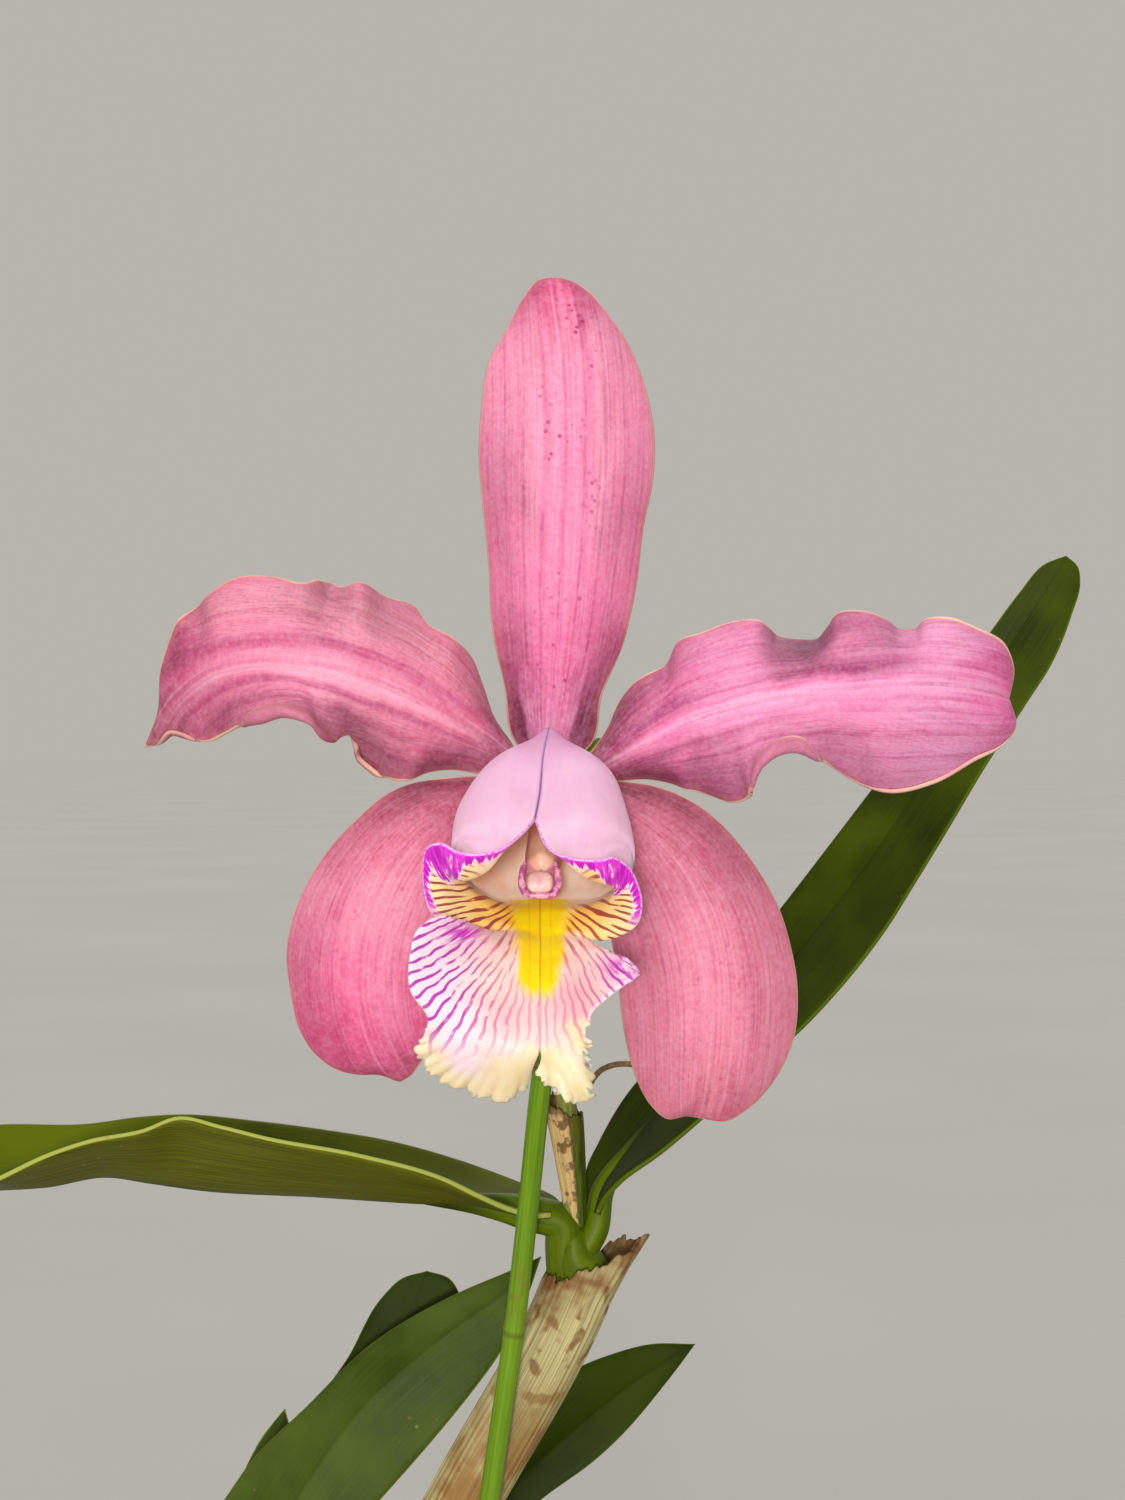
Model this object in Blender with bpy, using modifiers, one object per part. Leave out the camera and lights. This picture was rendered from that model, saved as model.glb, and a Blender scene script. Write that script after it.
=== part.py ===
"""A cattleya orchid in flower, growing in bark in a plain terracotta pot.

Metres, +Z up. The origin is the middle of the pot's underside, and the flower faces -Y.
The outlines of the flower and the leaves are written as front-view points (u, v, back): u to the
right and v down in front-view pixels, and back in millimetres behind the flower's plane. seen()
puts such a point at its real place, from the flower's real spread and the viewing distance.
"""

import math
import random

import bmesh
import bpy
import numpy as np
from mathutils import Vector

MM = 0.001

# The front view, and the real size that sets its scale
FLOWER_SPREAD = 0.125
FLOWER_SPREAD_PX = 865.0
VIEW_DISTANCE = 0.320
VIEW_CENTRE_PX = (562.5, 750.0)
EYE_X = 0.024
EYE_Z = 0.266
FLOWER_Y = -0.036
PIXEL = FLOWER_SPREAD / FLOWER_SPREAD_PX

# Thicknesses and gaps
GAP = 0.0003
TEPAL_THICK = 0.0008
LIP_THICK = 0.0007
LEAF_THICK = 0.0015
SHEATH_THICK = 0.0007

# Pot and bark
POT_HEIGHT = 0.092
POT_RIM_RADIUS = 0.060
POT_RIM_HEIGHT = 0.017
POT_RIM_STEP = 0.0035
POT_FOOT_RADIUS = 0.041
POT_WALL = 0.0050
POT_FLOOR = 0.0070
POT_STEPS = 36
DRAIN_RADIUS = 0.0045
DRAIN_CIRCLE = 0.022
BARK_TOP = 0.079
BARK_BED_DROP = 0.002
BARK_SEED = 10
CHIPS = 38
CHIP_LENGTHS = (0.013, 0.020)
CHIP_WIDTHS = (0.010, 0.014)
CHIP_HEIGHTS = (0.009, 0.011)
CHIP_SINK = 0.0035
CHIP_MARGIN = 0.0125
CHIP_TILT = 0.18
CHIP_TURN = math.radians(137.5)

# Stems and canes
RHIZOME_RADIUS = 0.0036
ROOT_RADIUS = 0.0019
STAKE_RADIUS = 0.00165
STAKE_FOOT = Vector((-0.0020, 0.0020, 0.030))
STEM_RADIUS = 0.0017
WIRE_RADIUS = 0.00045


def seen(u, v, back):
    """The real place of a front-view point, so that its outline stays as seen at any depth."""
    scale = PIXEL * (1.0 + back * MM / VIEW_DISTANCE)
    x = EYE_X + (u - VIEW_CENTRE_PX[0]) * scale
    z = EYE_Z - (v - VIEW_CENTRE_PX[1]) * scale
    return Vector((x, FLOWER_Y + back * MM, z))


def through(knots, values, x):
    """A smooth curve that passes through values at knots, read at each x."""
    knots = np.asarray(knots, float)
    values = np.asarray(values, float)
    x = np.asarray(x, float)
    step = np.diff(knots)[:, None]
    slope = np.diff(values, axis=0) / step
    tangent = np.empty_like(values)
    tangent[0] = slope[0]
    tangent[-1] = slope[-1]
    tangent[1:-1] = (slope[:-1] * step[1:] + slope[1:] * step[:-1]) / (step[:-1] + step[1:])
    i = np.clip(np.searchsorted(knots, x, side="right") - 1, 0, len(knots) - 2)
    h = step[i]
    w = ((x - knots[i]) / h[:, 0])[:, None]
    start = (1 + 2 * w) * (1 - w) ** 2 * values[i] + w * (1 - w) ** 2 * h * tangent[i]
    end = w**2 * (3 - 2 * w) * values[i + 1] + w**2 * (w - 1) * h * tangent[i + 1]
    return start + end


def lengthwise(points):
    """Knots from 0 to 1 by the length along a line of front-view points."""
    points = np.asarray(points, float)
    run = np.linalg.norm(np.diff(points * (PIXEL / MM, PIXEL / MM, 1.0), axis=0), axis=1)
    knots = np.concatenate([[0.0], np.cumsum(run)])
    return knots / knots[-1]


def material(name, colour, roughness, metallic=0.0):
    made = bpy.data.materials.new(name)
    made.use_nodes = True
    shader = made.node_tree.nodes["Principled BSDF"]
    shader.inputs["Base Color"].default_value = (*colour, 1.0)
    shader.inputs["Roughness"].default_value = roughness
    shader.inputs["Metallic"].default_value = metallic
    return made


def keep(mesh_object, colour, parts):
    """Adds a finished object to the part, with its own material."""
    mesh_object.data.materials.clear()
    mesh_object.data.materials.append(colour)
    for other in list(mesh_object.users_collection):
        other.objects.unlink(mesh_object)
    parts.objects.link(mesh_object)
    return mesh_object


def mesh_object(name, bm):
    mesh = bpy.data.meshes.new(name)
    bm.to_mesh(mesh)
    bm.free()
    made = bpy.data.objects.new(name, mesh)
    bpy.context.scene.collection.objects.link(made)
    return made


def thin_sheet(name, place, along, across, thickness, colour, parts):
    """A blade of one thickness whose middle surface is place(s, t), s from 0 to 1, t from -1 to 1."""
    bm = bmesh.new()
    bmesh.ops.create_grid(bm, x_segments=across, y_segments=along, size=1.0)
    s = np.array([(vert.co.y + 1.0) / 2.0 for vert in bm.verts])
    t = np.array([vert.co.x for vert in bm.verts])
    for vert, point in zip(bm.verts, place(s, t)):
        vert.co = point
    bmesh.ops.remove_doubles(bm, verts=bm.verts, dist=0.00002)
    bmesh.ops.triangulate(bm, faces=bm.faces, quad_method="SHORT_EDGE")
    made = mesh_object(name, bm)
    made.data.shade_smooth()
    solid = made.modifiers.new("Thickness", "SOLIDIFY")
    solid.thickness = thickness
    solid.offset = 0.0
    solid.use_quality_normals = True
    return keep(made, colour, parts)


def tube(name, points, radii, resolution, colour, parts):
    """A round stem along points, with its own radius at each."""
    curve = bpy.data.curves.new(name, "CURVE")
    curve.dimensions = "3D"
    curve.bevel_depth = 1.0
    curve.bevel_resolution = resolution
    curve.use_fill_caps = True
    spline = curve.splines.new("POLY")
    spline.points.add(len(points) - 1)
    for knot, point, radius in zip(spline.points, points, radii):
        knot.co = (*point, 1.0)
        knot.radius = radius
    spline.use_smooth = True
    made = bpy.data.objects.new(name, curve)
    bpy.context.scene.collection.objects.link(made)
    return keep(made, colour, parts)


def smooth_path(points, count):
    """count places along a smooth curve through the given places."""
    points = np.asarray(points, float)
    run = np.linalg.norm(np.diff(points, axis=0), axis=1)
    knots = np.concatenate([[0.0], np.cumsum(run)])
    return through(knots, points, np.linspace(0.0, knots[-1], count))


def smooth_radii(radii, count):
    radii = np.asarray(radii, float)[:, None]
    return through(np.linspace(0, 1, len(radii)), radii, np.linspace(0, 1, count))[:, 0]


def as_mesh(source):
    """Replaces a curve object by a mesh with welded caps, so that it can be joined or cut."""
    depsgraph = bpy.context.evaluated_depsgraph_get()
    mesh = bpy.data.meshes.new_from_object(source.evaluated_get(depsgraph))
    bm = bmesh.new()
    bm.from_mesh(mesh)
    bmesh.ops.remove_doubles(bm, verts=bm.verts, dist=0.00001)
    bm.to_mesh(mesh)
    bm.free()
    name = source.name
    homes = list(source.users_collection)
    place = source.matrix_world.copy()
    bpy.data.objects.remove(source)
    made = bpy.data.objects.new(name, mesh)
    made.matrix_world = place
    for home in homes:
        home.objects.link(made)
    return made


def hide_cutter(cutter):
    cutter.hide_render = True
    cutter.display_type = "WIRE"


def add_boolean(target, operation, cutter, solver="EXACT"):
    """Joins or cuts target with another object, or with a whole collection."""
    change = target.modifiers.new(operation.title(), "BOOLEAN")
    change.operation = operation
    change.solver = solver
    if isinstance(cutter, bpy.types.Collection):
        change.operand_type = "COLLECTION"
        change.collection = cutter
    else:
        change.object = cutter
    return change


def apply_all(target):
    """Turns an object's modifiers into its mesh."""
    bpy.context.view_layer.update()
    depsgraph = bpy.context.evaluated_depsgraph_get()
    mesh = bpy.data.meshes.new_from_object(target.evaluated_get(depsgraph))
    target.modifiers.clear()
    target.data = mesh


# Sepals, petals and leaves: outlines from base to tip, and the midrib between them


def blade(left, midrib, right, hollow=2.0, spread=1.0):
    """place(s, t) for a blade between two edges, crowned or channelled about its midrib."""
    lines = [(lengthwise(line), line) for line in (left, midrib, right)]

    def place(s, t):
        edge_left, middle, edge_right = (through(knots, line, s) for knots, line in lines)
        edge = np.where((t < 0)[:, None], edge_left, edge_right)
        reach = np.abs(t)
        seen_at = middle.copy()
        seen_at[:, :2] += (edge - middle)[:, :2] * (reach**spread)[:, None]
        seen_at[:, 2] += (edge - middle)[:, 2] * reach**hollow
        return [seen(*point) for point in seen_at]

    return place


DORSAL_LEFT = [
    (541, 768, 5.4), (526, 755, 5.3), (513, 738, 5.2), (505, 687, 5.0), (493, 633, 4.6),
    (489, 566, 4.4), (482, 496, 4.0), (479, 450, 3.6), (482, 405, 3.8), (487, 368, 4.6),
    (508, 327, 6.4), (525, 296, 8.6), (538, 281, 9.8), (553, 278, 10.2),
]
DORSAL_MIDRIB = [
    (549.5, 768.5, 5.2), (550, 740, 4.2), (558, 640, 1.4), (564, 520, 0.0), (567, 420, 0.4),
    (563, 340, 3.4), (553, 278, 10.2),
]
DORSAL_RIGHT = [
    (558, 768, 5.4), (574, 759, 5.3), (590, 746, 5.2), (602, 694, 5.0), (623, 643, 4.6),
    (636, 585, 4.4), (643, 528, 4.0), (653, 477, 3.6), (654, 435, 3.6), (645, 388, 4.2),
    (629, 346, 5.6), (607, 314, 7.4), (588, 292, 9.0), (570, 281, 9.8), (553, 278, 10.2),
]

LATERAL_LEFT_OUTER = [
    (528, 783, 5.5), (503, 779, 5.5), (477, 777, 5.2), (441, 779, 4.2), (409, 785, 3.6),
    (383, 797, 3.6), (360, 817, 4.0), (335, 843, 4.2), (310, 879, 4.2), (294, 916, 4.0),
    (287, 956, 4.0), (291, 990, 4.4), (299, 1027, 5.2), (315, 1053, 6.0), (336, 1068, 6.6),
    (356, 1073, 7.0), (378, 1073, 7.6), (400, 1081, 8.4),
]
LATERAL_LEFT_MIDRIB = [
    (529, 789, 5.2), (500, 793, 4.6), (455, 808, 1.6), (411, 842, -0.6), (378, 893, -1.6),
    (362, 950, -1.6), (364, 1010, 0.2), (380, 1055, 3.6), (400, 1081, 8.4),
]
LATERAL_LEFT_INNER = [
    (530, 797, 5.5), (516, 812, 5.3), (498, 838, 5.0), (480, 880, 4.4), (466, 930, 3.8),
    (452, 985, 3.6), (437, 1030, 4.6), (422, 1059, 6.4), (411, 1074, 7.6), (400, 1081, 8.4),
]
LATERAL_RIGHT_OUTER = [
    (570, 786, 5.5), (592, 783, 5.5), (617, 782, 5.2), (643, 784, 4.2), (677, 794, 3.6),
    (711, 815, 3.6), (736, 841, 4.0), (760, 874, 4.2), (779, 910, 4.2), (791, 950, 4.0),
    (797, 990, 4.0), (795, 1030, 4.6), (785, 1060, 5.4), (769, 1087, 6.2), (748, 1108, 6.8),
    (728, 1120, 7.2), (704, 1118, 7.6),
]
LATERAL_RIGHT_MIDRIB = [
    (569, 792, 5.2), (590, 797, 4.6), (630, 822, 1.6), (672, 862, -0.6), (702, 915, -1.8),
    (715, 970, -2.0), (716, 1030, -0.6), (711, 1080, 2.8), (704, 1118, 7.6),
]
LATERAL_RIGHT_INNER = [
    (568, 799, 5.5), (575, 815, 5.3), (588, 848, 5.0), (601, 890, 4.4), (611, 935, 3.8),
    (619, 985, 3.4), (622, 1015, 3.6), (628, 1048, 4.2), (638, 1082, 5.0), (652, 1106, 5.8),
    (667, 1118, 6.6), (686, 1115, 7.2), (704, 1118, 7.6),
]

PETAL_LEFT_UPPER = [
    (524, 766, 4.2), (511, 744, 4.0), (492, 716, 4.6), (482, 687, 5.6), (469, 655, 5.0),
    (449, 636, 2.6), (428, 625, 3.6), (414, 607, 5.6), (385, 597, 3.0), (359, 582, -0.6),
    (344, 587, 1.8), (330, 584, 4.2), (316, 580, 1.0), (303, 583, -1.6), (273, 577, 0.8),
    (234, 579, 2.0), (211, 593, 2.6), (198, 607, 6.6), (178, 620, 5.0), (173, 632, 6.0),
    (162, 668, 9.0), (159, 713, 12.6), (146, 747, 15.4),
]
PETAL_LEFT_MIDRIB = [
    (526, 773, 4.2), (511, 757, 3.4), (462, 725, 0.6), (395, 690, -2.4), (319, 666, -4.0),
    (268, 661, -3.2), (217, 670, 1.0), (180, 696, 7.6), (146, 747, 15.4),
]
PETAL_LEFT_LOWER = [
    (525, 779, 4.2), (508, 777, 4.0), (482, 774, 3.8), (451, 769, 4.2), (424, 773, 2.2),
    (405, 781, 0.4), (385, 777, 2.6), (375, 768, 5.4), (363, 757, 5.8), (357, 744, 3.0),
    (347, 735, 0.4), (334, 740, -2.6), (321, 736, -6.6), (313, 725, -8.6), (288, 717, -8.8),
    (262, 723, -5.6), (242, 726, -1.2), (228, 733, 2.6), (207, 742, 6.4), (186, 737, 9.4),
    (172, 734, 12.0), (158, 743, 14.4), (146, 747, 15.4),
]
PETAL_RIGHT_UPPER = [
    (574, 767, 4.2), (592, 751, 4.0), (607, 731, 4.4), (622, 700, 5.6), (633, 685, 4.4),
    (648, 674, 2.6), (668, 664, 5.0), (680, 641, 3.2), (702, 633, 1.2), (729, 623, 0.4),
    (756, 620, -0.2), (768, 628, 2.2), (780, 638, 5.6), (800, 641, 6.6), (817, 640, 5.0),
    (829, 627, 1.6), (841, 612, -1.2), (863, 611, -1.8), (884, 619, 0.6), (902, 630, 4.4),
    (914, 630, 4.6), (927, 619, 2.2), (946, 617, 1.0), (978, 628, 2.6), (1003, 643, 5.8),
    (1013, 666, 8.2), (1008, 699, 10.6),
]
PETAL_RIGHT_MIDRIB = [
    (572, 775, 4.2), (594, 770, 3.4), (637, 747, 0.8), (690, 720, -2.0), (760, 700, -4.0),
    (850, 687, -4.4), (930, 682, -1.0), (980, 688, 4.6), (1008, 699, 10.6),
]
PETAL_RIGHT_LOWER = [
    (572, 781, 4.2), (590, 782, 4.0), (615, 781, 3.8), (645, 778, 4.4), (673, 783, 3.0),
    (690, 790, 1.4), (711, 795, 3.2), (733, 802, 0.8), (748, 799, -1.2), (752, 786, -4.8),
    (761, 768, -7.0), (776, 756, -7.2), (796, 752, -6.0), (817, 759, -3.4), (837, 770, -0.6),
    (862, 783, 1.6), (888, 789, 3.0), (932, 780, 4.6), (975, 756, 7.4), (1004, 741, 9.6),
    (1014, 727, 10.8), (1008, 699, 10.6),
]

LEAF_RIGHT_UPPER = [
    (581, 1213, 41.5), (584, 1190, 43.0), (588, 1166, 45.0), (598, 1145, 46.5), (621, 1104, 49.0),
    (660, 1055, 51.5), (720, 985, 54.0), (783, 906, 56.0), (873, 789, 58.0), (930, 712, 59.0),
    (992, 629, 60.0), (1019, 593, 60.5), (1045, 564, 61.0), (1066, 556, 61.0),
]
LEAF_RIGHT_MIDRIB = [
    (597, 1214, 39.3), (603, 1190, 39.8), (618, 1166, 41.0), (662, 1110, 44.0), (728, 1040, 47.0),
    (800, 955, 49.5), (868, 868, 52.0), (930, 775, 54.5), (985, 690, 57.0), (1034, 610, 59.5),
    (1066, 556, 61.0),
]
LEAF_RIGHT_LOWER = [
    (597, 1214, 36.0), (604, 1200, 34.5), (617, 1185, 33.5), (662, 1152, 33.0), (703, 1118, 33.5),
    (760, 1066, 35.0), (800, 1031, 36.0), (840, 988, 38.0), (886, 928, 40.5), (913, 885, 42.5),
    (946, 832, 45.0), (986, 766, 48.5), (1025, 706, 52.0), (1052, 663, 54.5), (1072, 613, 58.0),
    (1080, 584, 60.0), (1077, 566, 61.0), (1066, 556, 61.0),
]

LEAF_LEFT_FAR = [
    (566, 1213, 42.0), (556, 1199, 45.0), (521, 1184, 48.5), (464, 1162, 50.5), (393, 1142, 51.5),
    (321, 1130, 51.5), (250, 1121, 51.0), (186, 1115, 50.5), (143, 1117, 50.0), (89, 1124, 49.5),
    (0, 1125, 48.0), (-90, 1136, 45.0), (-180, 1160, 41.0), (-245, 1196, 38.0),
]
LEAF_LEFT_MIDRIB = [
    (550, 1214, 38.5), (541, 1214, 38.0), (514, 1211, 37.5), (479, 1204, 37.5), (411, 1200, 38.0),
    (321, 1194, 38.5), (200, 1187, 38.5), (150, 1180, 38.0), (107, 1174, 37.5), (46, 1184, 37.0),
    (0, 1187, 36.5), (-90, 1190, 36.5), (-180, 1190, 37.0), (-245, 1196, 38.0),
]
LEAF_LEFT_NEAR = [
    (551, 1215, 34.0), (535, 1216, 32.5), (514, 1211, 31.0), (479, 1196, 28.0), (446, 1180, 26.0),
    (357, 1155, 24.0), (268, 1138, 23.5), (221, 1126, 24.0), (179, 1117, 24.5), (143, 1130, 24.0),
    (89, 1141, 23.5), (43, 1157, 23.5), (0, 1178, 24.0), (-60, 1204, 26.0), (-150, 1219, 30.0),
    (-215, 1212, 35.0), (-245, 1196, 38.0),
]

LOW_LEFT_UPPER = [
    (193, 1661, 46.5), (172, 1612, 48.5), (187, 1555, 51.0), (226, 1498, 52.5), (252, 1461, 53.0),
    (307, 1407, 54.0), (372, 1344, 55.0), (461, 1292, 55.5), (508, 1272, 55.5), (541, 1257, 56.0),
]
LOW_LEFT_MIDRIB = [
    (200, 1664, 44.5), (235, 1600, 44.5), (290, 1510, 46.0), (367, 1403, 48.5), (440, 1340, 51.0),
    (506, 1292, 53.0), (541, 1257, 56.0),
]
LOW_LEFT_LOWER = [
    (208, 1667, 44.0), (262, 1628, 44.0), (322, 1565, 45.0), (380, 1500, 46.0), (437, 1435, 47.5),
    (469, 1396, 48.5), (500, 1353, 50.5), (526, 1300, 53.0), (541, 1257, 56.0),
]
LOW_BEHIND_UPPER = [
    (202, 1650, 52.0), (200, 1570, 58.0), (262, 1470, 62.0), (310, 1410, 63.5), (346, 1361, 64.0),
    (383, 1296, 64.0), (401, 1279, 64.0), (427, 1271, 64.0),
]
LOW_BEHIND_MIDRIB = [
    (209, 1652, 51.0), (240, 1580, 55.0), (310, 1470, 59.0), (370, 1385, 61.0), (410, 1312, 63.0),
    (427, 1271, 64.0),
]
LOW_BEHIND_LOWER = [
    (216, 1654, 51.0), (270, 1600, 54.5), (345, 1500, 58.0), (405, 1420, 60.0), (445, 1345, 62.0),
    (459, 1293, 63.5), (450, 1279, 64.0), (427, 1271, 64.0),
]
SMALL_LEFT = [
    (246, 1632, 69.5), (226, 1560, 73.0), (233, 1500, 74.0), (245, 1470, 74.0), (262, 1437, 74.0),
    (285, 1409, 74.0),
]
SMALL_MIDRIB = [(253, 1633, 69.0), (257, 1560, 70.5), (266, 1470, 72.0), (285, 1409, 74.0)]
SMALL_RIGHT = [
    (260, 1634, 69.5), (286, 1560, 71.5), (294, 1490, 73.0), (293, 1440, 74.0), (285, 1409, 74.0),
]
LOW_RIGHT_UPPER = [
    (400, 1612, 58.0), (403, 1570, 61.0), (432, 1515, 62.0), (475, 1458, 62.5), (522, 1408, 63.0),
    (579, 1368, 63.0), (611, 1355, 63.0), (650, 1344, 63.0), (695, 1344, 63.0),
]
LOW_RIGHT_MIDRIB = [
    (407, 1613, 56.5), (470, 1530, 57.0), (560, 1443, 58.0), (640, 1379, 60.5), (695, 1344, 63.0),
]
LOW_RIGHT_LOWER = [
    (414, 1614, 55.5), (450, 1583, 55.0), (495, 1540, 55.0), (544, 1498, 55.5), (592, 1462, 56.5),
    (630, 1426, 58.0), (665, 1384, 61.0), (695, 1344, 63.0),
]

# The lip's rows, from its rear rim (station 0) to the cleft of its midlobe (station 26). A row runs
# from the midrib out to the edge: floor, side, upper, crease and edge.
LIP_REACHES = (0.22, 0.46, 0.68, 0.86, 1.0)
LIP_END = 26.0
LIP_MIDRIB = [
    (0.0, 549, 815, 4.5), (1.0, 548, 845, 1.5), (2.0, 546, 878, -2.5), (3.0, 544, 893, -5.0),
    (6.0, 543, 903, -7.0), (9.0, 543, 911, -9.0), (12.0, 542, 924, -11.0),
    (14.0, 542, 938, -13.5), (16.0, 541, 955, -17.5), (18.2, 541, 983, -22.0),
    (20.6, 541, 1017, -26.2), (23.0, 541, 1041, -28.2), (26.0, 540, 1051, -28.7),
]
LIP_LEFT = [
    (0.0, (535, 808, 3.8), (521, 785, 2.4), (524, 757, 1.2), (536, 738, -0.2), (546.5, 728, -1.0)),
    (1.0, (520, 842, 1.2), (484, 802, -3.0), (490, 765, -6.0), (515, 752, -8.5), (540.5, 759, -9.5)),
    (2.0, (505, 880, -3.0), (462, 837, -8.0), (466, 798, -12.0), (500, 787, -15.5), (537.5, 793, -17)),
    (3.0, (495, 898, -6.5), (458, 862, -13.0), (459, 828, -17.0), (493, 815, -21.0), (532.5, 820, -23)),
    (4.5, (495, 900, -7.5), (457, 868, -13.5), (464, 840, -18.5), (497, 846, -23.5), (514, 841, -26.5)),
    (6.0, (495, 902, -8.0), (458, 873, -14.0), (470, 852, -19.0), (487, 869, -25.0), (491, 852, -28.5)),
    (7.5, (503, 905, -9.0), (467, 888, -15.0), (459, 869, -20.0), (463, 878, -25.0), (462, 853, -28.5)),
    (9.0, (508, 908, -10.0), (475, 896, -15.0), (456, 884, -20.0), (445, 869, -24.5), (438, 843, -27)),
    (10.0, (510, 911, -10.5), (477, 902, -15), (455, 893, -19.0), (439, 877, -23.0), (425, 851, -25)),
    (11.0, (513, 915, -11.0), (481, 910, -14.5), (458, 906, -18), (440, 899, -21.0), (423, 885, -22.5)),
    (12.0, (516, 920, -11.5), (487, 917, -14.0), (465, 917, -17), (449, 917, -19.0), (433, 915, -20.5)),
    (13.0, (522, 926, -12.0), (502, 924, -13.5), (487, 925, -15), (475, 928, -16.0), (465, 929, -16.5)),
    (14.0, (527, 934, -13.0), (514, 932, -13.5), (504, 932, -14), (496, 934, -14.3), (489, 936, -14.5)),
    (15.0, (523, 941, -16.0), (505, 939, -17.0), (491, 935, -18.5), (478, 929, -20), (465, 923, -21)),
    (16.0, (520, 950, -18.0), (497, 945, -19.5), (476, 936, -21.5), (457, 926, -23.5), (440, 916, -25)),
    (17.0, (516, 961, -20.0), (490, 955, -21.5), (464, 945, -23.5), (440, 936, -26), (419, 928, -27.5)),
    (18.2, (515, 978, -22.3), (488, 972, -23.5), (460, 965, -25.5), (433, 960, -27.5), (410, 955, -29)),
    (19.4, (516, 998, -24.5), (489, 995, -25.5), (461, 992, -27), (434, 990, -28.5), (410, 990, -29.5)),
    (20.6, (518, 1015, -26.5), (494, 1013, -27.2), (470, 1012, -28), (447, 1014, -28.5),
     (428, 1020, -28.5)),
    (21.8, (518, 1030, -27.8), (495, 1031, -28.3), (470, 1035, -28.5), (444, 1042, -28), (419, 1052, -27)),
    (23.0, (521, 1041, -28.4), (501, 1044, -28.6), (480, 1051, -28.3), (460, 1063, -27), (440, 1078, -25)),
    (24.2, (527, 1048, -28.6), (514, 1052, -28.6), (500, 1060, -28), (487, 1073, -26.5), (474, 1092, -24)),
    (25.2, (533, 1052, -28.6), (526, 1058, -28.5), (518, 1068, -27.8), (511, 1082, -26.3),
     (505, 1100, -24)),
    (26.0, (538.5, 1055, -28.6), (536, 1060, -28.3), (533, 1067, -27.6), (530, 1075, -26.5),
     (527, 1084, -25)),
]
LIP_RIGHT = [
    (0.0, (563, 808, 3.8), (577, 785, 2.4), (574, 757, 1.2), (562, 738, -0.2), (551.5, 728, -1.0)),
    (1.0, (578, 842, 1.2), (611, 803, -3.0), (605, 767, -6.0), (575, 752, -8.5), (545.5, 759, -9.5)),
    (2.0, (592, 880, -3.0), (624, 842, -8.0), (619, 799, -12.0), (583, 787, -15.5), (542.5, 793, -17)),
    (3.0, (596, 898, -6.5), (628, 867, -13.0), (627, 831, -17), (590, 815, -21.0), (537.5, 820, -23)),
    (4.5, (597, 900, -7.5), (629, 874, -13.5), (622, 845, -18.5), (582, 850, -23.5), (546, 846, -27)),
    (6.0, (594, 903, -8.5), (627, 880, -14.5), (611, 860, -20), (581, 872, -25.5), (567, 857, -28.5)),
    (7.5, (588, 906, -9.5), (617, 893, -15.5), (620, 877, -20.5), (603, 881, -25.5), (598, 860, -28.5)),
    (9.0, (582, 909, -10.5), (604, 901, -15.5), (615, 894, -20.5), (616, 881, -25), (616, 858, -27.5)),
    (10.0, (578, 912, -10.8), (600, 906, -15), (612, 901, -19.5), (624, 889, -23.5), (632, 871, -25.5)),
    (11.0, (574, 917, -11.2), (597, 914, -15), (612, 911, -18.5), (628, 907, -21.5), (642, 899, -23)),
    (12.0, (571, 922, -11.8), (592, 921, -14.5), (608, 922, -17.5), (623, 924, -19.5), (637, 925, -20.5)),
    (13.0, (566, 929, -12.5), (584, 929, -14.2), (595, 931, -16), (603, 935, -17), (612, 939, -17.5)),
    (14.0, (558, 937, -13.4), (570, 936, -14), (578, 937, -14.6), (584, 939, -15), (590, 941, -15.5)),
    (15.0, (558, 946, -15.8), (574, 946, -16.8), (586, 947, -18), (595, 948, -19), (603, 949, -20)),
    (16.0, (561, 956, -18), (580, 956, -19.3), (597, 956, -21.2), (612, 957, -23), (628, 960, -24.5)),
    (17.0, (563, 967, -20.2), (583, 966, -21.5), (602, 966, -23.5), (621, 968, -25.5), (640, 973, -27)),
    (18.2, (560, 982, -22.4), (578, 981, -23.6), (595, 980, -25.3), (611, 981, -27), (627, 983, -28.5)),
    (19.4, (556, 1000, -24.6), (570, 999, -25.6), (583, 998, -27), (595, 998, -28.3), (606, 999, -29.5)),
    (20.6, (553, 1015, -26.5), (565, 1014, -27.1), (575, 1013, -28), (584, 1013, -29), (592, 1013, -30)),
    (21.8, (552, 1030, -27.8), (562, 1029, -28.3), (571, 1029, -28.9), (579, 1031, -29.5),
     (586, 1034, -30)),
    (23.0, (552, 1040, -28.5), (562, 1040, -29), (571, 1042, -29.4), (579, 1047, -29.6),
     (587, 1055, -29.5)),
    (24.2, (551, 1047, -28.9), (561, 1050, -29.4), (571, 1056, -29.8), (581, 1066, -29.8),
     (591, 1080, -29)),
    (25.2, (546.5, 1053, -29), (553, 1059, -29.5), (561, 1069, -30), (570, 1084, -30.2),
     (578, 1103, -29.5)),
    (26.0, (541, 1055, -29), (541, 1059, -29.5), (540, 1063, -30.2), (538, 1068, -30.8),
     (535, 1073, -31.2)),
]

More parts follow.
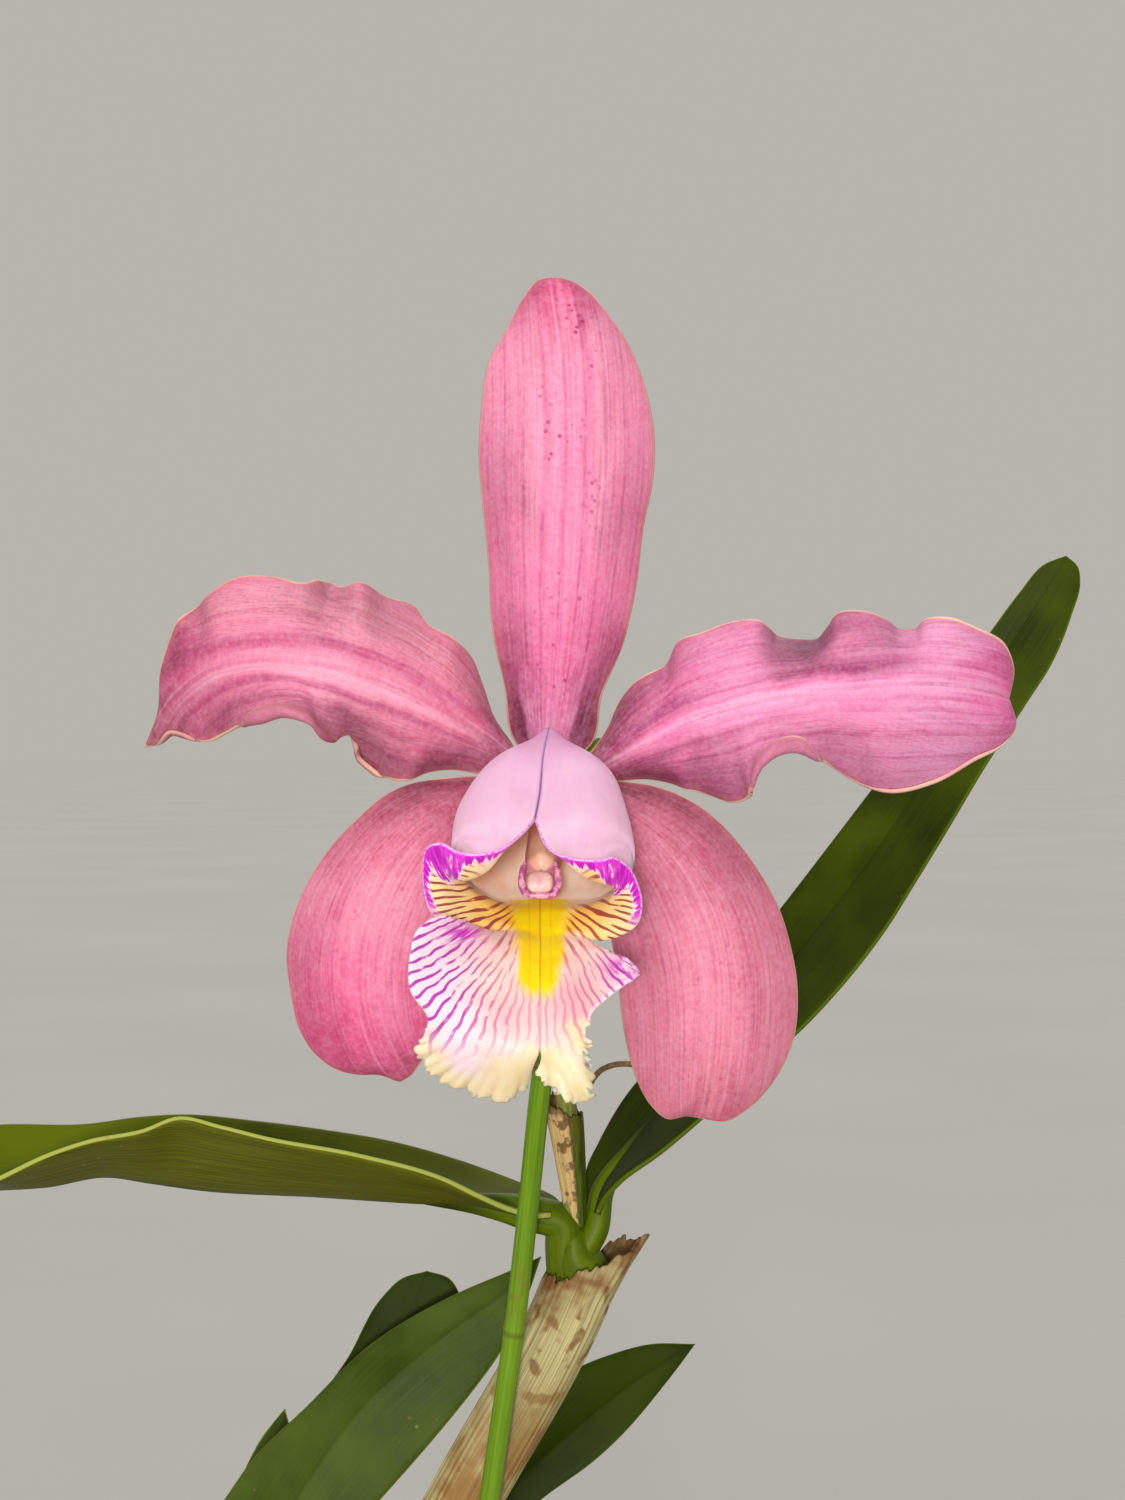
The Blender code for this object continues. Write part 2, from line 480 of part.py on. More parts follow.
# Stems, as front-view points from the ground up
STAKE_ROUTE = [
    (490, 1498, 30.0), (517, 1307, 27.5), (529, 1200, 25.5), (541, 1085, 21.0), (564, 930, 15.5),
    (585, 810, 11.4), (599, 738, 9.6),
]
STEM_ROUTE = [
    (574, 1214, 38.2), (571, 1160, 36.8), (566, 1105, 34.4), (559, 1040, 30.2), (553, 960, 24.2),
    (550, 880, 17.4), (549, 826, 13.4), (549.5, 798, 11.4), (550, 787, 10.0), (550, 785, 6.3),
]
STEM_RADII = [1.9, 1.7, 1.7, 1.7, 1.8, 2.2, 2.6, 2.7, 4.6, 4.6]
SPATHE_ROUTE = [(574, 1213, 38.2), (570, 1160, 36.8), (565, 1120, 35.2), (560, 1092, 33.8)]
COLUMN_ROUTE = [
    (550, 786, 5.6), (550, 786, 3.6), (549, 799, 1.2), (546, 836, -3.6), (543, 862, -9.6),
     (541, 874, -13.0),
]
COLUMN_RADII = [2.4, 2.5, 2.9, 3.0, 2.7]
ANTHER_AT = (540, 883, -14.5)
ANTHER_SIZE = (0.0018, 0.0012, 0.0016)
TIE_ROUND = [(542.7, 1070, 20.4), (562.2, 1070, 32.1)]
TIE_PITCH = 0.0016
TIE_TAIL = [
    (584, 1078, 29.0), (588, 1088, 25.5), (593, 1079, 22.5), (603, 1069, 20.0), (619, 1064, 18.0),
    (640, 1066, 16.5), (656, 1073, 15.5), (668, 1082, 15.0),
]

# Canes: places in metres, with a radius in millimetres at each, and their sheaths' first share,
# last share and pointed flap past the end
PSEUDOBULBS = [
    (
        "pseudobulb_flowering",
        [(-0.0228, 0.0040, 0.0878), (-0.0216, 0.0040, 0.0901), (-0.0150, 0.0038, 0.1025),
         (0.0084, 0.0030, 0.1450), seen(576, 1290, 38.8), seen(583, 1272, 38.6),
         seen(573, 1254, 38.4), seen(570, 1240, 38.3), seen(571, 1225, 38.2)],
        [1.8, 4.0, 4.4, 4.9, 4.9, 4.6, 3.5, 3.9, 5.0],
        (0.06, 0.905, 0.175),
    ),
    (
        "pseudobulb_left",
        [(-0.0350, 0.0120, 0.0870), (-0.0350, 0.0120, 0.0890), (-0.0352, 0.0119, 0.1010),
         (-0.0354, 0.0118, 0.1144)],
        [2.0, 4.2, 4.9, 4.6],
        (0.10, 0.80, 0.12),
    ),
    (
        "pseudobulb_right",
        [(-0.0060, 0.0220, 0.0871), (-0.0058, 0.0219, 0.0890), (-0.0043, 0.0212, 0.1030),
         (-0.0026, 0.0205, 0.1178)],
        [2.0, 4.2, 4.9, 4.4],
        (0.10, 0.80, 0.12),
    ),
    (
        "pseudobulb_small",
        [(-0.0300, 0.0320, 0.0870), (-0.0300, 0.0320, 0.0888), (-0.0302, 0.0324, 0.0990),
         (-0.0304, 0.0328, 0.1098)],
        [2.0, 3.8, 4.3, 3.8],
        (0.10, 0.80, 0.12),
    ),
]
SPATHE_RADIUS = 2.6
SPATHE_SWELL = 0.7
SHEATH_SLACK = 0.0001
LEAF_HOLLOW = 0.95
LEAF_SPREAD = 1.15
LEAVES = [
    ("leaf_right", LEAF_RIGHT_UPPER, LEAF_RIGHT_MIDRIB, LEAF_RIGHT_LOWER, 20),
    ("leaf_left", LEAF_LEFT_NEAR, LEAF_LEFT_MIDRIB, LEAF_LEFT_FAR, 20),
    ("leaf_low_left", LOW_LEFT_UPPER, LOW_LEFT_MIDRIB, LOW_LEFT_LOWER, 16),
    ("leaf_low_behind", LOW_BEHIND_UPPER, LOW_BEHIND_MIDRIB, LOW_BEHIND_LOWER, 14),
    ("leaf_small", SMALL_LEFT, SMALL_MIDRIB, SMALL_RIGHT, 10),
    ("leaf_low_right", LOW_RIGHT_UPPER, LOW_RIGHT_MIDRIB, LOW_RIGHT_LOWER, 14),
]

# Rootstock and roots, in millimetres, at the height where they lie in the bark
RHIZOME_ROUTES = [
    [(10, 17, 82.6), (-6, 22, 83), (-19, 27, 83), (-30, 32, 83), (-36, 33, 82.4)],
    [(-19, 27, 83), (-30, 21, 83), (-35, 12, 83), (-30.5, 6, 83), (-22.8, 4, 83), (-12, 2.5, 82.4)],
]
ROOT_ROUTES = [
    [(-22, 4, 82), (-19, -9, 84), (-13, -22, 83), (-9, -33, 70)],
    [(-12, 2.5, 82), (-6, -11, 84), (6, -24, 82.5), (14, -33, 70)],
    [(-6, 22, 82), (8, 29, 84), (22, 32, 82.5), (32, 33, 70)],
    [(9, 17, 82), (24, 14, 84.5), (36, 8, 82), (44, 4, 70)],
    [(-35, 12, 82), (-42, 1, 84), (-43, -10, 82.5), (-42, -17, 70)],
    [(-31, 32, 82), (-27, 40, 83), (-20, 43, 82), (-14, 43, 70)],
    [(-31, 6, 82), (-35, -8, 84), (-31, -22, 83), (-27, -32, 70)],
    [(9, 17, 82), (16, 4, 84), (27, -8, 83), (35, -16, 70)],
]


def lip_place(s, t):
    """The lip's middle surface: s from the rear rim to the cleft, t from the left to the right edge."""
    station = s * LIP_END
    middle = through([row[0] for row in LIP_MIDRIB], [row[1:] for row in LIP_MIDRIB], station)
    lines = []
    for rows in (LIP_LEFT, LIP_RIGHT):
        stations = [row[0] for row in rows]
        lines.append(
            [through(stations, [row[1 + i] for row in rows], station) for i in range(5)]
        )
    left, right = lines
    net = np.stack([*reversed(left), middle, *right])
    reaches = [-reach for reach in reversed(LIP_REACHES)] + [0.0, *LIP_REACHES]
    places = []
    for i, reach in enumerate(t):
        places.append(seen(*through(reaches, net[:, i], [reach])[0]))
    return places


def sepals(parts):
    tepal = material("sepal pink", (0.80, 0.27, 0.42), 0.5)
    for name, left, midrib, right in (
        ("dorsal_sepal", DORSAL_LEFT, DORSAL_MIDRIB, DORSAL_RIGHT),
        ("lateral_sepal_left", LATERAL_LEFT_OUTER, LATERAL_LEFT_MIDRIB, LATERAL_LEFT_INNER),
        ("lateral_sepal_right", LATERAL_RIGHT_INNER, LATERAL_RIGHT_MIDRIB, LATERAL_RIGHT_OUTER),
    ):
        thin_sheet(name, blade(left, midrib, right), 20, 6, TEPAL_THICK, tepal, parts)


def petals(parts):
    tepal = material("petal pink", (0.83, 0.29, 0.48), 0.5)
    for name, upper, midrib, lower in (
        ("petal_left", PETAL_LEFT_UPPER, PETAL_LEFT_MIDRIB, PETAL_LEFT_LOWER),
        ("petal_right", PETAL_RIGHT_LOWER, PETAL_RIGHT_MIDRIB, PETAL_RIGHT_UPPER),
    ):
        place = blade(upper, midrib, lower, hollow=2.4)
        thin_sheet(name, place, 28, 8, TEPAL_THICK, tepal, parts)


def lip(parts):
    tepal = material("lip", (0.93, 0.66, 0.78), 0.45)
    thin_sheet("lip", lip_place, 38, 16, LIP_THICK, tepal, parts)


def column(parts):
    cream = material("column cream", (0.90, 0.62, 0.60), 0.4)
    points = [seen(*point) for point in COLUMN_ROUTE]
    count = 12
    radii = smooth_radii(COLUMN_RADII, count) * MM
    tube("column", smooth_path(points, count), radii, 4, cream, parts)
    bm = bmesh.new()
    bmesh.ops.create_uvsphere(bm, u_segments=16, v_segments=10, radius=1.0)
    cap = mesh_object("anther_cap", bm)
    cap.scale = ANTHER_SIZE
    cap.location = seen(*ANTHER_AT)
    cap.rotation_euler = (math.radians(-40), 0, 0)
    cap.data.shade_smooth()
    keep(cap, material("anther white", (0.93, 0.72, 0.68), 0.4), parts)


def flower_stem(parts):
    green = material("stem green", (0.24, 0.32, 0.06), 0.5)
    stem_tube("flower_stem", [seen(*point) for point in STEM_ROUTE], STEM_RADII, 30, 2, green, parts)


def stem_tube(name, route, radii, count, resolution, colour, parts):
    """A smooth stem through the route's places, with a radius in millimetres at each of them."""
    run = np.linalg.norm(np.diff(np.asarray(route, float), axis=0), axis=1)
    knots = np.concatenate([[0.0], np.cumsum(run)])
    along = np.interp(np.linspace(0.0, knots[-1], count), knots, np.asarray(radii) * MM)
    return tube(name, smooth_path(route, count), along, resolution, colour, parts)


def leaves(parts):
    green = material("leaf green", (0.07, 0.12, 0.02), 0.4)
    for name, left, midrib, right, along in LEAVES:
        place = blade(left, midrib, right, hollow=LEAF_HOLLOW, spread=LEAF_SPREAD)
        thin_sheet(name, place, along, 4, LEAF_THICK, green, parts)


def sleeve(route, radius_at, end_at):
    """place(s, t) of a sheath round a route: radius_at(reach, angle), and end_at(angle), its torn end.

    An angle of 0 is the sheath's +X side and a quarter turn its back.
    """
    path = np.asarray(route, float)
    run = np.linalg.norm(np.diff(path, axis=0), axis=1)
    knots = np.concatenate([[0.0], np.cumsum(run)]) / run.sum()

    def place(s, t):
        angles = np.pi * t
        reaches = s * end_at(angles)
        centres = through(knots, path, np.clip(reaches, 0.0, 1.0))
        ahead = through(knots, path, np.clip(reaches + 0.05, 0.1, 1.0))
        behind = through(knots, path, np.clip(reaches - 0.05, 0.0, 0.9))
        radii = radius_at(reaches, angles)
        places = []
        for i, angle in enumerate(angles):
            axis = Vector(ahead[i] - behind[i]).normalized()
            side = Vector((0, 1, 0)).cross(axis).normalized()
            back = axis.cross(side)
            past_end = max(reaches[i] - 1.0, 0.0) * run.sum()
            outward = side * math.cos(angle) + back * math.sin(angle)
            places.append(Vector(centres[i]) + axis * past_end + outward * radii[i])
        return places

    return place


def spathe(parts):
    """The sheath that the flower stem grows out of, open and pointed at its top."""
    brown = material("spathe brown", (0.30, 0.20, 0.08), 0.7)

    def radius_at(reach, angle):
        return (SPATHE_RADIUS + SPATHE_SWELL * np.sin(np.pi * np.clip(reach, 0, 1))) * MM

    def end_at(angle):
        return 0.80 + 0.20 * np.cos(angle / 2.0 - np.pi / 2.0) ** 2

    route = [seen(*point) for point in SPATHE_ROUTE]
    thin_sheet("spathe", sleeve(route, radius_at, end_at), 10, 10, SHEATH_THICK, brown, parts)


def pseudobulbs(parts):
    """The canes that carry the leaves, each in the dry sheath that it grew out of."""
    green = material("pseudobulb green", (0.22, 0.30, 0.03), 0.5)
    straw = material("dry sheath", (0.55, 0.45, 0.27), 0.8)
    for name, route, radii, sheath in PSEUDOBULBS:
        stem_tube(name, route, radii, 3 * len(route), 4, green, parts)
        first, last, flap = sheath
        path = smooth_path(route, 60)
        first_i, last_i = round(first * 59), round(last * 59)
        run = np.concatenate([[0.0], np.cumsum(np.linalg.norm(np.diff(path, axis=0), axis=1))])
        corners = np.asarray(route, float)
        corner_run = np.linalg.norm(np.diff(corners, axis=0), axis=1)
        corner_run = np.concatenate([[0.0], np.cumsum(corner_run)])
        bulb = np.interp(run, corner_run, np.asarray(radii) * MM)[first_i : last_i + 1]

        def radius_at(reach, angle, bulb=bulb):
            inside = np.interp(np.clip(reach, 0, 1), np.linspace(0, 1, len(bulb)), bulb)
            return inside + GAP + SHEATH_THICK / 2 + SHEATH_SLACK

        def end_at(angle, flap=flap):
            return 1.0 + flap * ((1.0 + np.cos(angle)) / 2.0) ** 1.3

        place = sleeve(path[first_i : last_i + 1], radius_at, end_at)
        thin_sheet(f"{name}_sheath", place, 2 * len(route), 12, SHEATH_THICK, straw, parts)


def rhizome(name, extra, colour, parts):
    """The creeping rootstock with its roots, joined in one body and extra wider than its size."""
    pieces = bpy.data.collections.new(f"{name} pieces")
    bpy.context.scene.collection.children.link(pieces)
    base = None
    for i, route in enumerate(RHIZOME_ROUTES + ROOT_ROUTES):
        thick = RHIZOME_RADIUS if i < len(RHIZOME_ROUTES) else ROOT_RADIUS
        places = [Vector(point) * MM for point in route]
        places[0] += (places[0] - places[1]).normalized() * extra
        places[-1] += (places[-1] - places[-2]).normalized() * extra
        count, sides = (12, 2) if i < len(RHIZOME_ROUTES) else (7, 1)
        radii = [thick + extra] * count
        piece = as_mesh(tube(f"{name} {i}", smooth_path(places, count), radii, sides, colour, pieces))
        if base is None:
            base = piece
            pieces.objects.unlink(base)
            parts.objects.link(base)
    base.name = name
    add_boolean(base, "UNION", pieces)
    apply_all(base)
    for piece in list(pieces.objects):
        bpy.data.objects.remove(piece)
    bpy.data.collections.remove(pieces)
    return base


def turned(name, profile, colour, parts):
    """A round body from a profile of (radius, height), run from its inside over the top and down."""
    bm = bmesh.new()
    verts = [bm.verts.new((radius, 0.0, height)) for radius, height in profile]
    for lower, upper in zip(verts, verts[1:]):
        bm.edges.new((lower, upper))
    made = mesh_object(name, bm)
    turn = made.modifiers.new("Turn", "SCREW")
    turn.steps = POT_STEPS
    turn.render_steps = POT_STEPS
    turn.use_merge_vertices = True
    turn.merge_threshold = 0.00005
    return keep(made, colour, parts)


def inside_radius(height):
    """The pot's inner radius at a height."""
    share = (height - POT_FLOOR) / (POT_HEIGHT - POT_FLOOR)
    return (POT_FOOT_RADIUS - POT_WALL) * (1 - share) + (POT_RIM_RADIUS - POT_WALL) * share


def pot(parts, cutters):
    clay = material("terracotta", (0.55, 0.22, 0.11), 0.85)
    rim_foot = POT_HEIGHT - POT_RIM_HEIGHT
    body_top = inside_radius(rim_foot) + POT_WALL - POT_RIM_STEP
    profile = [
        (0.0, POT_FLOOR),
        (inside_radius(POT_FLOOR) - 0.002, POT_FLOOR),
        (inside_radius(POT_FLOOR + 0.003), POT_FLOOR + 0.003),
        (inside_radius(POT_HEIGHT - 0.001), POT_HEIGHT - 0.001),
        (POT_RIM_RADIUS - POT_WALL + 0.0015, POT_HEIGHT),
        (POT_RIM_RADIUS - 0.0015, POT_HEIGHT),
        (POT_RIM_RADIUS, POT_HEIGHT - 0.0015),
        (body_top + POT_RIM_STEP, rim_foot + 0.0012),
        (body_top + POT_RIM_STEP - 0.001, rim_foot),
        (body_top, rim_foot),
        (POT_FOOT_RADIUS, 0.0020),
        (POT_FOOT_RADIUS - 0.0015, 0.0),
        (0.0, 0.0),
    ]
    made = turned("pot", profile, clay, parts)
    for i in range(3):
        angle = math.radians(90 + 120 * i)
        bpy.ops.mesh.primitive_cylinder_add(
            vertices=20,
            radius=DRAIN_RADIUS,
            depth=4 * POT_FLOOR,
            location=(DRAIN_CIRCLE * math.cos(angle), DRAIN_CIRCLE * math.sin(angle), POT_FLOOR / 2),
        )
        drain = bpy.context.object
        drain.name = f"drain hole {i}"
        hide_cutter(keep(drain, clay, cutters))
        add_boolean(made, "DIFFERENCE", drain)


def bark(parts, cutters):
    """Potting bark: a bed that fills the pot, with chips standing out of its top."""
    brown = material("bark brown", (0.20, 0.10, 0.05), 0.9)
    bottom = POT_FLOOR + GAP
    bed_top = BARK_TOP - BARK_BED_DROP
    profile = [
        (0.0, bed_top),
        (inside_radius(bed_top) - 0.001, bed_top),
        (inside_radius(bed_top - 0.002) - GAP, bed_top - 0.002),
        (inside_radius(bottom + 0.004) - GAP, bottom + 0.004),
        (inside_radius(bottom) - 0.0035, bottom),
        (0.0, bottom),
    ]
    bed = turned("potting_bark", profile, brown, parts)
    apply_all(bed)
    chips = bpy.data.collections.new("Chips")
    bpy.context.scene.collection.children.link(chips)
    draw = random.Random(BARK_SEED)
    for i in range(CHIPS):
        size = [draw.uniform(*limits) for limits in (CHIP_LENGTHS, CHIP_WIDTHS, CHIP_HEIGHTS)]
        reach = (inside_radius(BARK_TOP) - CHIP_MARGIN) * math.sqrt((i + 0.5) / CHIPS)
        angle = i * CHIP_TURN
        bm = bmesh.new()
        bmesh.ops.create_cube(bm, size=1.0)
        for vert in bm.verts:
            taper = 1.0 - 0.25 * draw.random() * (vert.co.z > 0)
            vert.co = Vector([vert.co[k] * size[k] * taper for k in range(3)])
        chip = mesh_object(f"chip {i}", bm)
        height = BARK_TOP - CHIP_SINK + draw.uniform(-0.0005, 0.0015)
        chip.location = (reach * math.cos(angle), reach * math.sin(angle), height)
        tilt = [draw.uniform(-CHIP_TILT, CHIP_TILT) for _ in range(2)]
        chip.rotation_euler = (*tilt, draw.uniform(0, math.pi))
        keep(chip, brown, chips)
    add_boolean(bed, "UNION", chips)
    apply_all(bed)
    for chip in list(chips.objects):
        bpy.data.objects.remove(chip)
    bpy.data.collections.remove(chips)
    hide_cutter(rhizome("rhizome groove", GAP, brown, cutters))
    route = stake_route()
    foot = route[0] - (route[1] - route[0]).normalized() * 2 * GAP
    hole = tube("stake hole", [foot, *route[1:3]], [STAKE_RADIUS + GAP] * 3, 4, brown, cutters)
    hide_cutter(as_mesh(hole))
    add_boolean(bed, "DIFFERENCE", bpy.data.objects["rhizome groove"], "MANIFOLD")
    add_boolean(bed, "DIFFERENCE", bpy.data.objects["stake hole"])


def stake_route():
    return [STAKE_FOOT, STAKE_FOOT.lerp(seen(*STAKE_ROUTE[0]), 0.55), *(seen(*p) for p in STAKE_ROUTE)]


def stake(parts):
    green = material("cane green", (0.16, 0.34, 0.02), 0.45)
    count = 24
    tube("stake", smooth_path(stake_route(), count), [STAKE_RADIUS] * count, 3, green, parts)


def tie(parts):
    """One turn of stiff wire round the stake and the flower stem, with a loose tail to the right."""
    brown = material("wire brown", (0.16, 0.10, 0.05), 0.6)
    stake_at, stem_at = (seen(*point) for point in TIE_ROUND)
    between = math.atan2(stem_at.y - stake_at.y, stem_at.x - stake_at.x)
    slack = WIRE_RADIUS + 2 * GAP
    turns = [(stem_at, STEM_RADIUS + slack, between), (stake_at, STAKE_RADIUS + slack, between + math.pi)]
    places = []
    for centre, radius, middle in turns:
        for share in np.linspace(-0.5, 0.5, 9):
            angle = middle + share * math.pi
            side = Vector((math.cos(angle), math.sin(angle), 0.0)) * radius
            lift = Vector((0, 0, TIE_PITCH * len(places) / 18))
            places.append(centre + side + lift)
    places += [seen(*point) for point in TIE_TAIL]
    count = 48
    tube("tie", smooth_path(places, count), [WIRE_RADIUS] * count, 1, brown, parts)


def main():
    for old in list(bpy.data.objects):
        bpy.data.objects.remove(old)
    parts = bpy.data.collections.new("Cattleya orchid")
    bpy.context.scene.collection.children.link(parts)
    cutters = bpy.data.collections.new("Cutters")
    bpy.context.scene.collection.children.link(cutters)
    sepals(parts)
    petals(parts)
    lip(parts)
    column(parts)
    flower_stem(parts)
    spathe(parts)
    leaves(parts)
    pseudobulbs(parts)
    rhizome("rhizome", 0.0, material("rhizome brown", (0.28, 0.22, 0.12), 0.8), parts)
    stake(parts)
    tie(parts)
    pot(parts, cutters)
    bark(parts, cutters)


main()
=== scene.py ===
"""The looks of the cattleya orchid: every node again as a finely shaped piece with its own material.

The shapes come from the same front-view tables and functions as the part's source. A front-view
point is (u, v, back): u to the right and v down in front-view pixels, back in millimetres behind
the flower's plane.
"""

import math
import random

import bpy
import numpy as np
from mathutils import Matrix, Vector, noise


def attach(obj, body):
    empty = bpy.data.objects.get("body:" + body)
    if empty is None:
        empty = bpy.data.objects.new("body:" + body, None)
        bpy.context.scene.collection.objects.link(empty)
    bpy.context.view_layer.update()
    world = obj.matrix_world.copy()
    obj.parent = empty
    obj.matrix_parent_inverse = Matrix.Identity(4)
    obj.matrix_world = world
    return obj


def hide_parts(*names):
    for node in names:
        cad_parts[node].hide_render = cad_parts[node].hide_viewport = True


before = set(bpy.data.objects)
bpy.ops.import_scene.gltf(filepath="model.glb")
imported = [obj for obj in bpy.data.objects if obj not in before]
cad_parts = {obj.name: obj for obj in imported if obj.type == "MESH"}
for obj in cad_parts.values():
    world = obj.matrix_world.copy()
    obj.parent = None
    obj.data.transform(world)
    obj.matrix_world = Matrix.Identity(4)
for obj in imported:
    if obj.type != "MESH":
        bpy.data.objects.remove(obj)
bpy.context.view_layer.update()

MM = 0.001
FLOWER_SPREAD = 0.125
FLOWER_SPREAD_PX = 865.0
VIEW_DISTANCE = 0.320
VIEW_CENTRE_PX = (562.5, 750.0)
VIEW_HEIGHT_PX = 1500.0
EYE_X = 0.024
EYE_Z = 0.266
FLOWER_Y = -0.036
PIXEL = FLOWER_SPREAD / FLOWER_SPREAD_PX
SENSOR_MM = 36.0

GAP = 0.0003
POT_HEIGHT = 0.092
POT_RIM_RADIUS = 0.060
POT_RIM_HEIGHT = 0.017
POT_RIM_STEP = 0.0035
POT_FOOT_RADIUS = 0.041
POT_WALL = 0.0050
POT_FLOOR = 0.0070
DRAIN_RADIUS = 0.0045
DRAIN_CIRCLE = 0.022
BARK_TOP = 0.079
STAKE_RADIUS = 0.00165
STAKE_FOOT = (-0.0020, 0.0020, 0.030)
STEM_RADIUS = 0.0017
WIRE_RADIUS = 0.00045
RHIZOME_RADIUS = 0.0036
ROOT_RADIUS = 0.0019
FLOOR_RADIUS = 60.0



# ---- shapes


def seen(point):
    """Real places of front-view points: an array of (..., 3)."""
    point = np.asarray(point, float)
    scale = PIXEL * (1.0 + point[..., 2] * MM / VIEW_DISTANCE)
    x = EYE_X + (point[..., 0] - VIEW_CENTRE_PX[0]) * scale
    z = EYE_Z - (point[..., 1] - VIEW_CENTRE_PX[1]) * scale
    return np.stack([x, FLOWER_Y + point[..., 2] * MM, z], -1)


def through(knots, values, x):
    """A smooth curve that passes through values at knots, read at each x."""
    knots = np.asarray(knots, float)
    values = np.asarray(values, float)
    x = np.asarray(x, float)
    step = np.diff(knots)[:, None]
    slope = np.diff(values, axis=0) / step
    tangent = np.empty_like(values)
    tangent[0] = slope[0]
    tangent[-1] = slope[-1]
    tangent[1:-1] = (slope[:-1] * step[1:] + slope[1:] * step[:-1]) / (step[:-1] + step[1:])
    i = np.clip(np.searchsorted(knots, x, side="right") - 1, 0, len(knots) - 2)
    h = step[i]
    w = ((x - knots[i]) / h[:, 0])[:, None]
    start = (1 + 2 * w) * (1 - w) ** 2 * values[i] + w * (1 - w) ** 2 * h * tangent[i]
    end = w**2 * (3 - 2 * w) * values[i + 1] + w**2 * (w - 1) * h * tangent[i + 1]
    return start + end


def lengthwise(points):
    """Knots from 0 to 1 by the length along a line of front-view points."""
    run = np.linalg.norm(np.diff(points * np.array([PIXEL / MM, PIXEL / MM, 1.0]), axis=0), axis=1)
    knots = np.concatenate([[0.0], np.cumsum(run)])
    return knots / knots[-1]


def run_along(points):
    return np.concatenate([[0.0], np.cumsum(np.linalg.norm(np.diff(points, axis=0), axis=1))])


def smooth_path(points, count):
    """count places along a smooth curve through the given places."""
    points = np.asarray(points, float)
    knots = run_along(points)
    return through(knots, points, np.linspace(0.0, knots[-1], count))


def window(s, start, end, soft=0.05):
    """1 between start and end, falling smoothly to 0 outside."""
    rise = np.clip((s - start) / soft, 0, 1)
    fall = np.clip((end - s) / soft, 0, 1)
    edge = np.minimum(rise, fall)
    return edge * edge * (3 - 2 * edge)


def unit(vectors):
    return vectors / np.maximum(np.linalg.norm(vectors, axis=-1, keepdims=True), 1e-9)


def fast_mesh(name, places, faces, attributes, colour, nodes):
    """A finished piece from arrays. faces is a list of arrays of vertex numbers, one row a face."""
    mesh = bpy.data.meshes.new(name)
    mesh.vertices.add(len(places))
    mesh.vertices.foreach_set("co", np.asarray(places, np.float32).ravel())
    loops = np.concatenate([group.ravel() for group in faces])
    sizes = np.concatenate([np.full(len(group), group.shape[1]) for group in faces])
    mesh.loops.add(len(loops))
    mesh.loops.foreach_set("vertex_index", loops.astype(np.int32))
    mesh.polygons.add(len(sizes))
    starts = np.concatenate([[0], np.cumsum(sizes)[:-1]])
    mesh.polygons.foreach_set("loop_start", starts.astype(np.int32))
    mesh.polygons.foreach_set("loop_total", sizes.astype(np.int32))
    mesh.update(calc_edges=True)
    mesh.validate()
    for key, values in attributes.items():
        layer = mesh.attributes.new(key, "FLOAT", "POINT")
        layer.data.foreach_set("value", np.asarray(values, np.float32).ravel())
    mesh.shade_smooth()
    mesh.materials.append(colour)
    piece = bpy.data.objects.new(name, mesh)
    bpy.context.scene.collection.objects.link(piece)
    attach(piece, "root")
    if nodes:
        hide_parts(*nodes)
    return piece


def grid_faces(rows, columns, first=0, flip=False, wrap=False):
    """Faces of a grid of vertices, numbered row by row from first."""
    i, j = np.meshgrid(np.arange(rows - 1), np.arange(columns if wrap else columns - 1), indexing="ij")
    a = first + i * columns + j
    b = first + i * columns + (j + 1) % columns
    quads = np.stack([a, b, b + columns, a + columns], -1).reshape(-1, 4)
    return quads[:, ::-1] if flip else quads


def sheet_normals(middle, wrap=False):
    """Unit normals of a grid of places, along x across, filled in where the grid is pinched."""
    along = np.gradient(middle, axis=0)
    if wrap:
        across = np.roll(middle, -1, 1) - np.roll(middle, 1, 1)
    else:
        across = np.gradient(middle, axis=1)
    normal = np.cross(along, across)
    size = np.linalg.norm(normal, axis=-1)
    weak = size < 0.02 * np.median(size)
    normal = unit(normal)
    for row in range(1, len(normal)):
        normal[row] = np.where(weak[row][:, None], normal[row - 1], normal[row])
    for row in range(len(normal) - 2, -1, -1):
        normal[row] = np.where(weak[row][:, None], normal[row + 1], normal[row])
    return normal


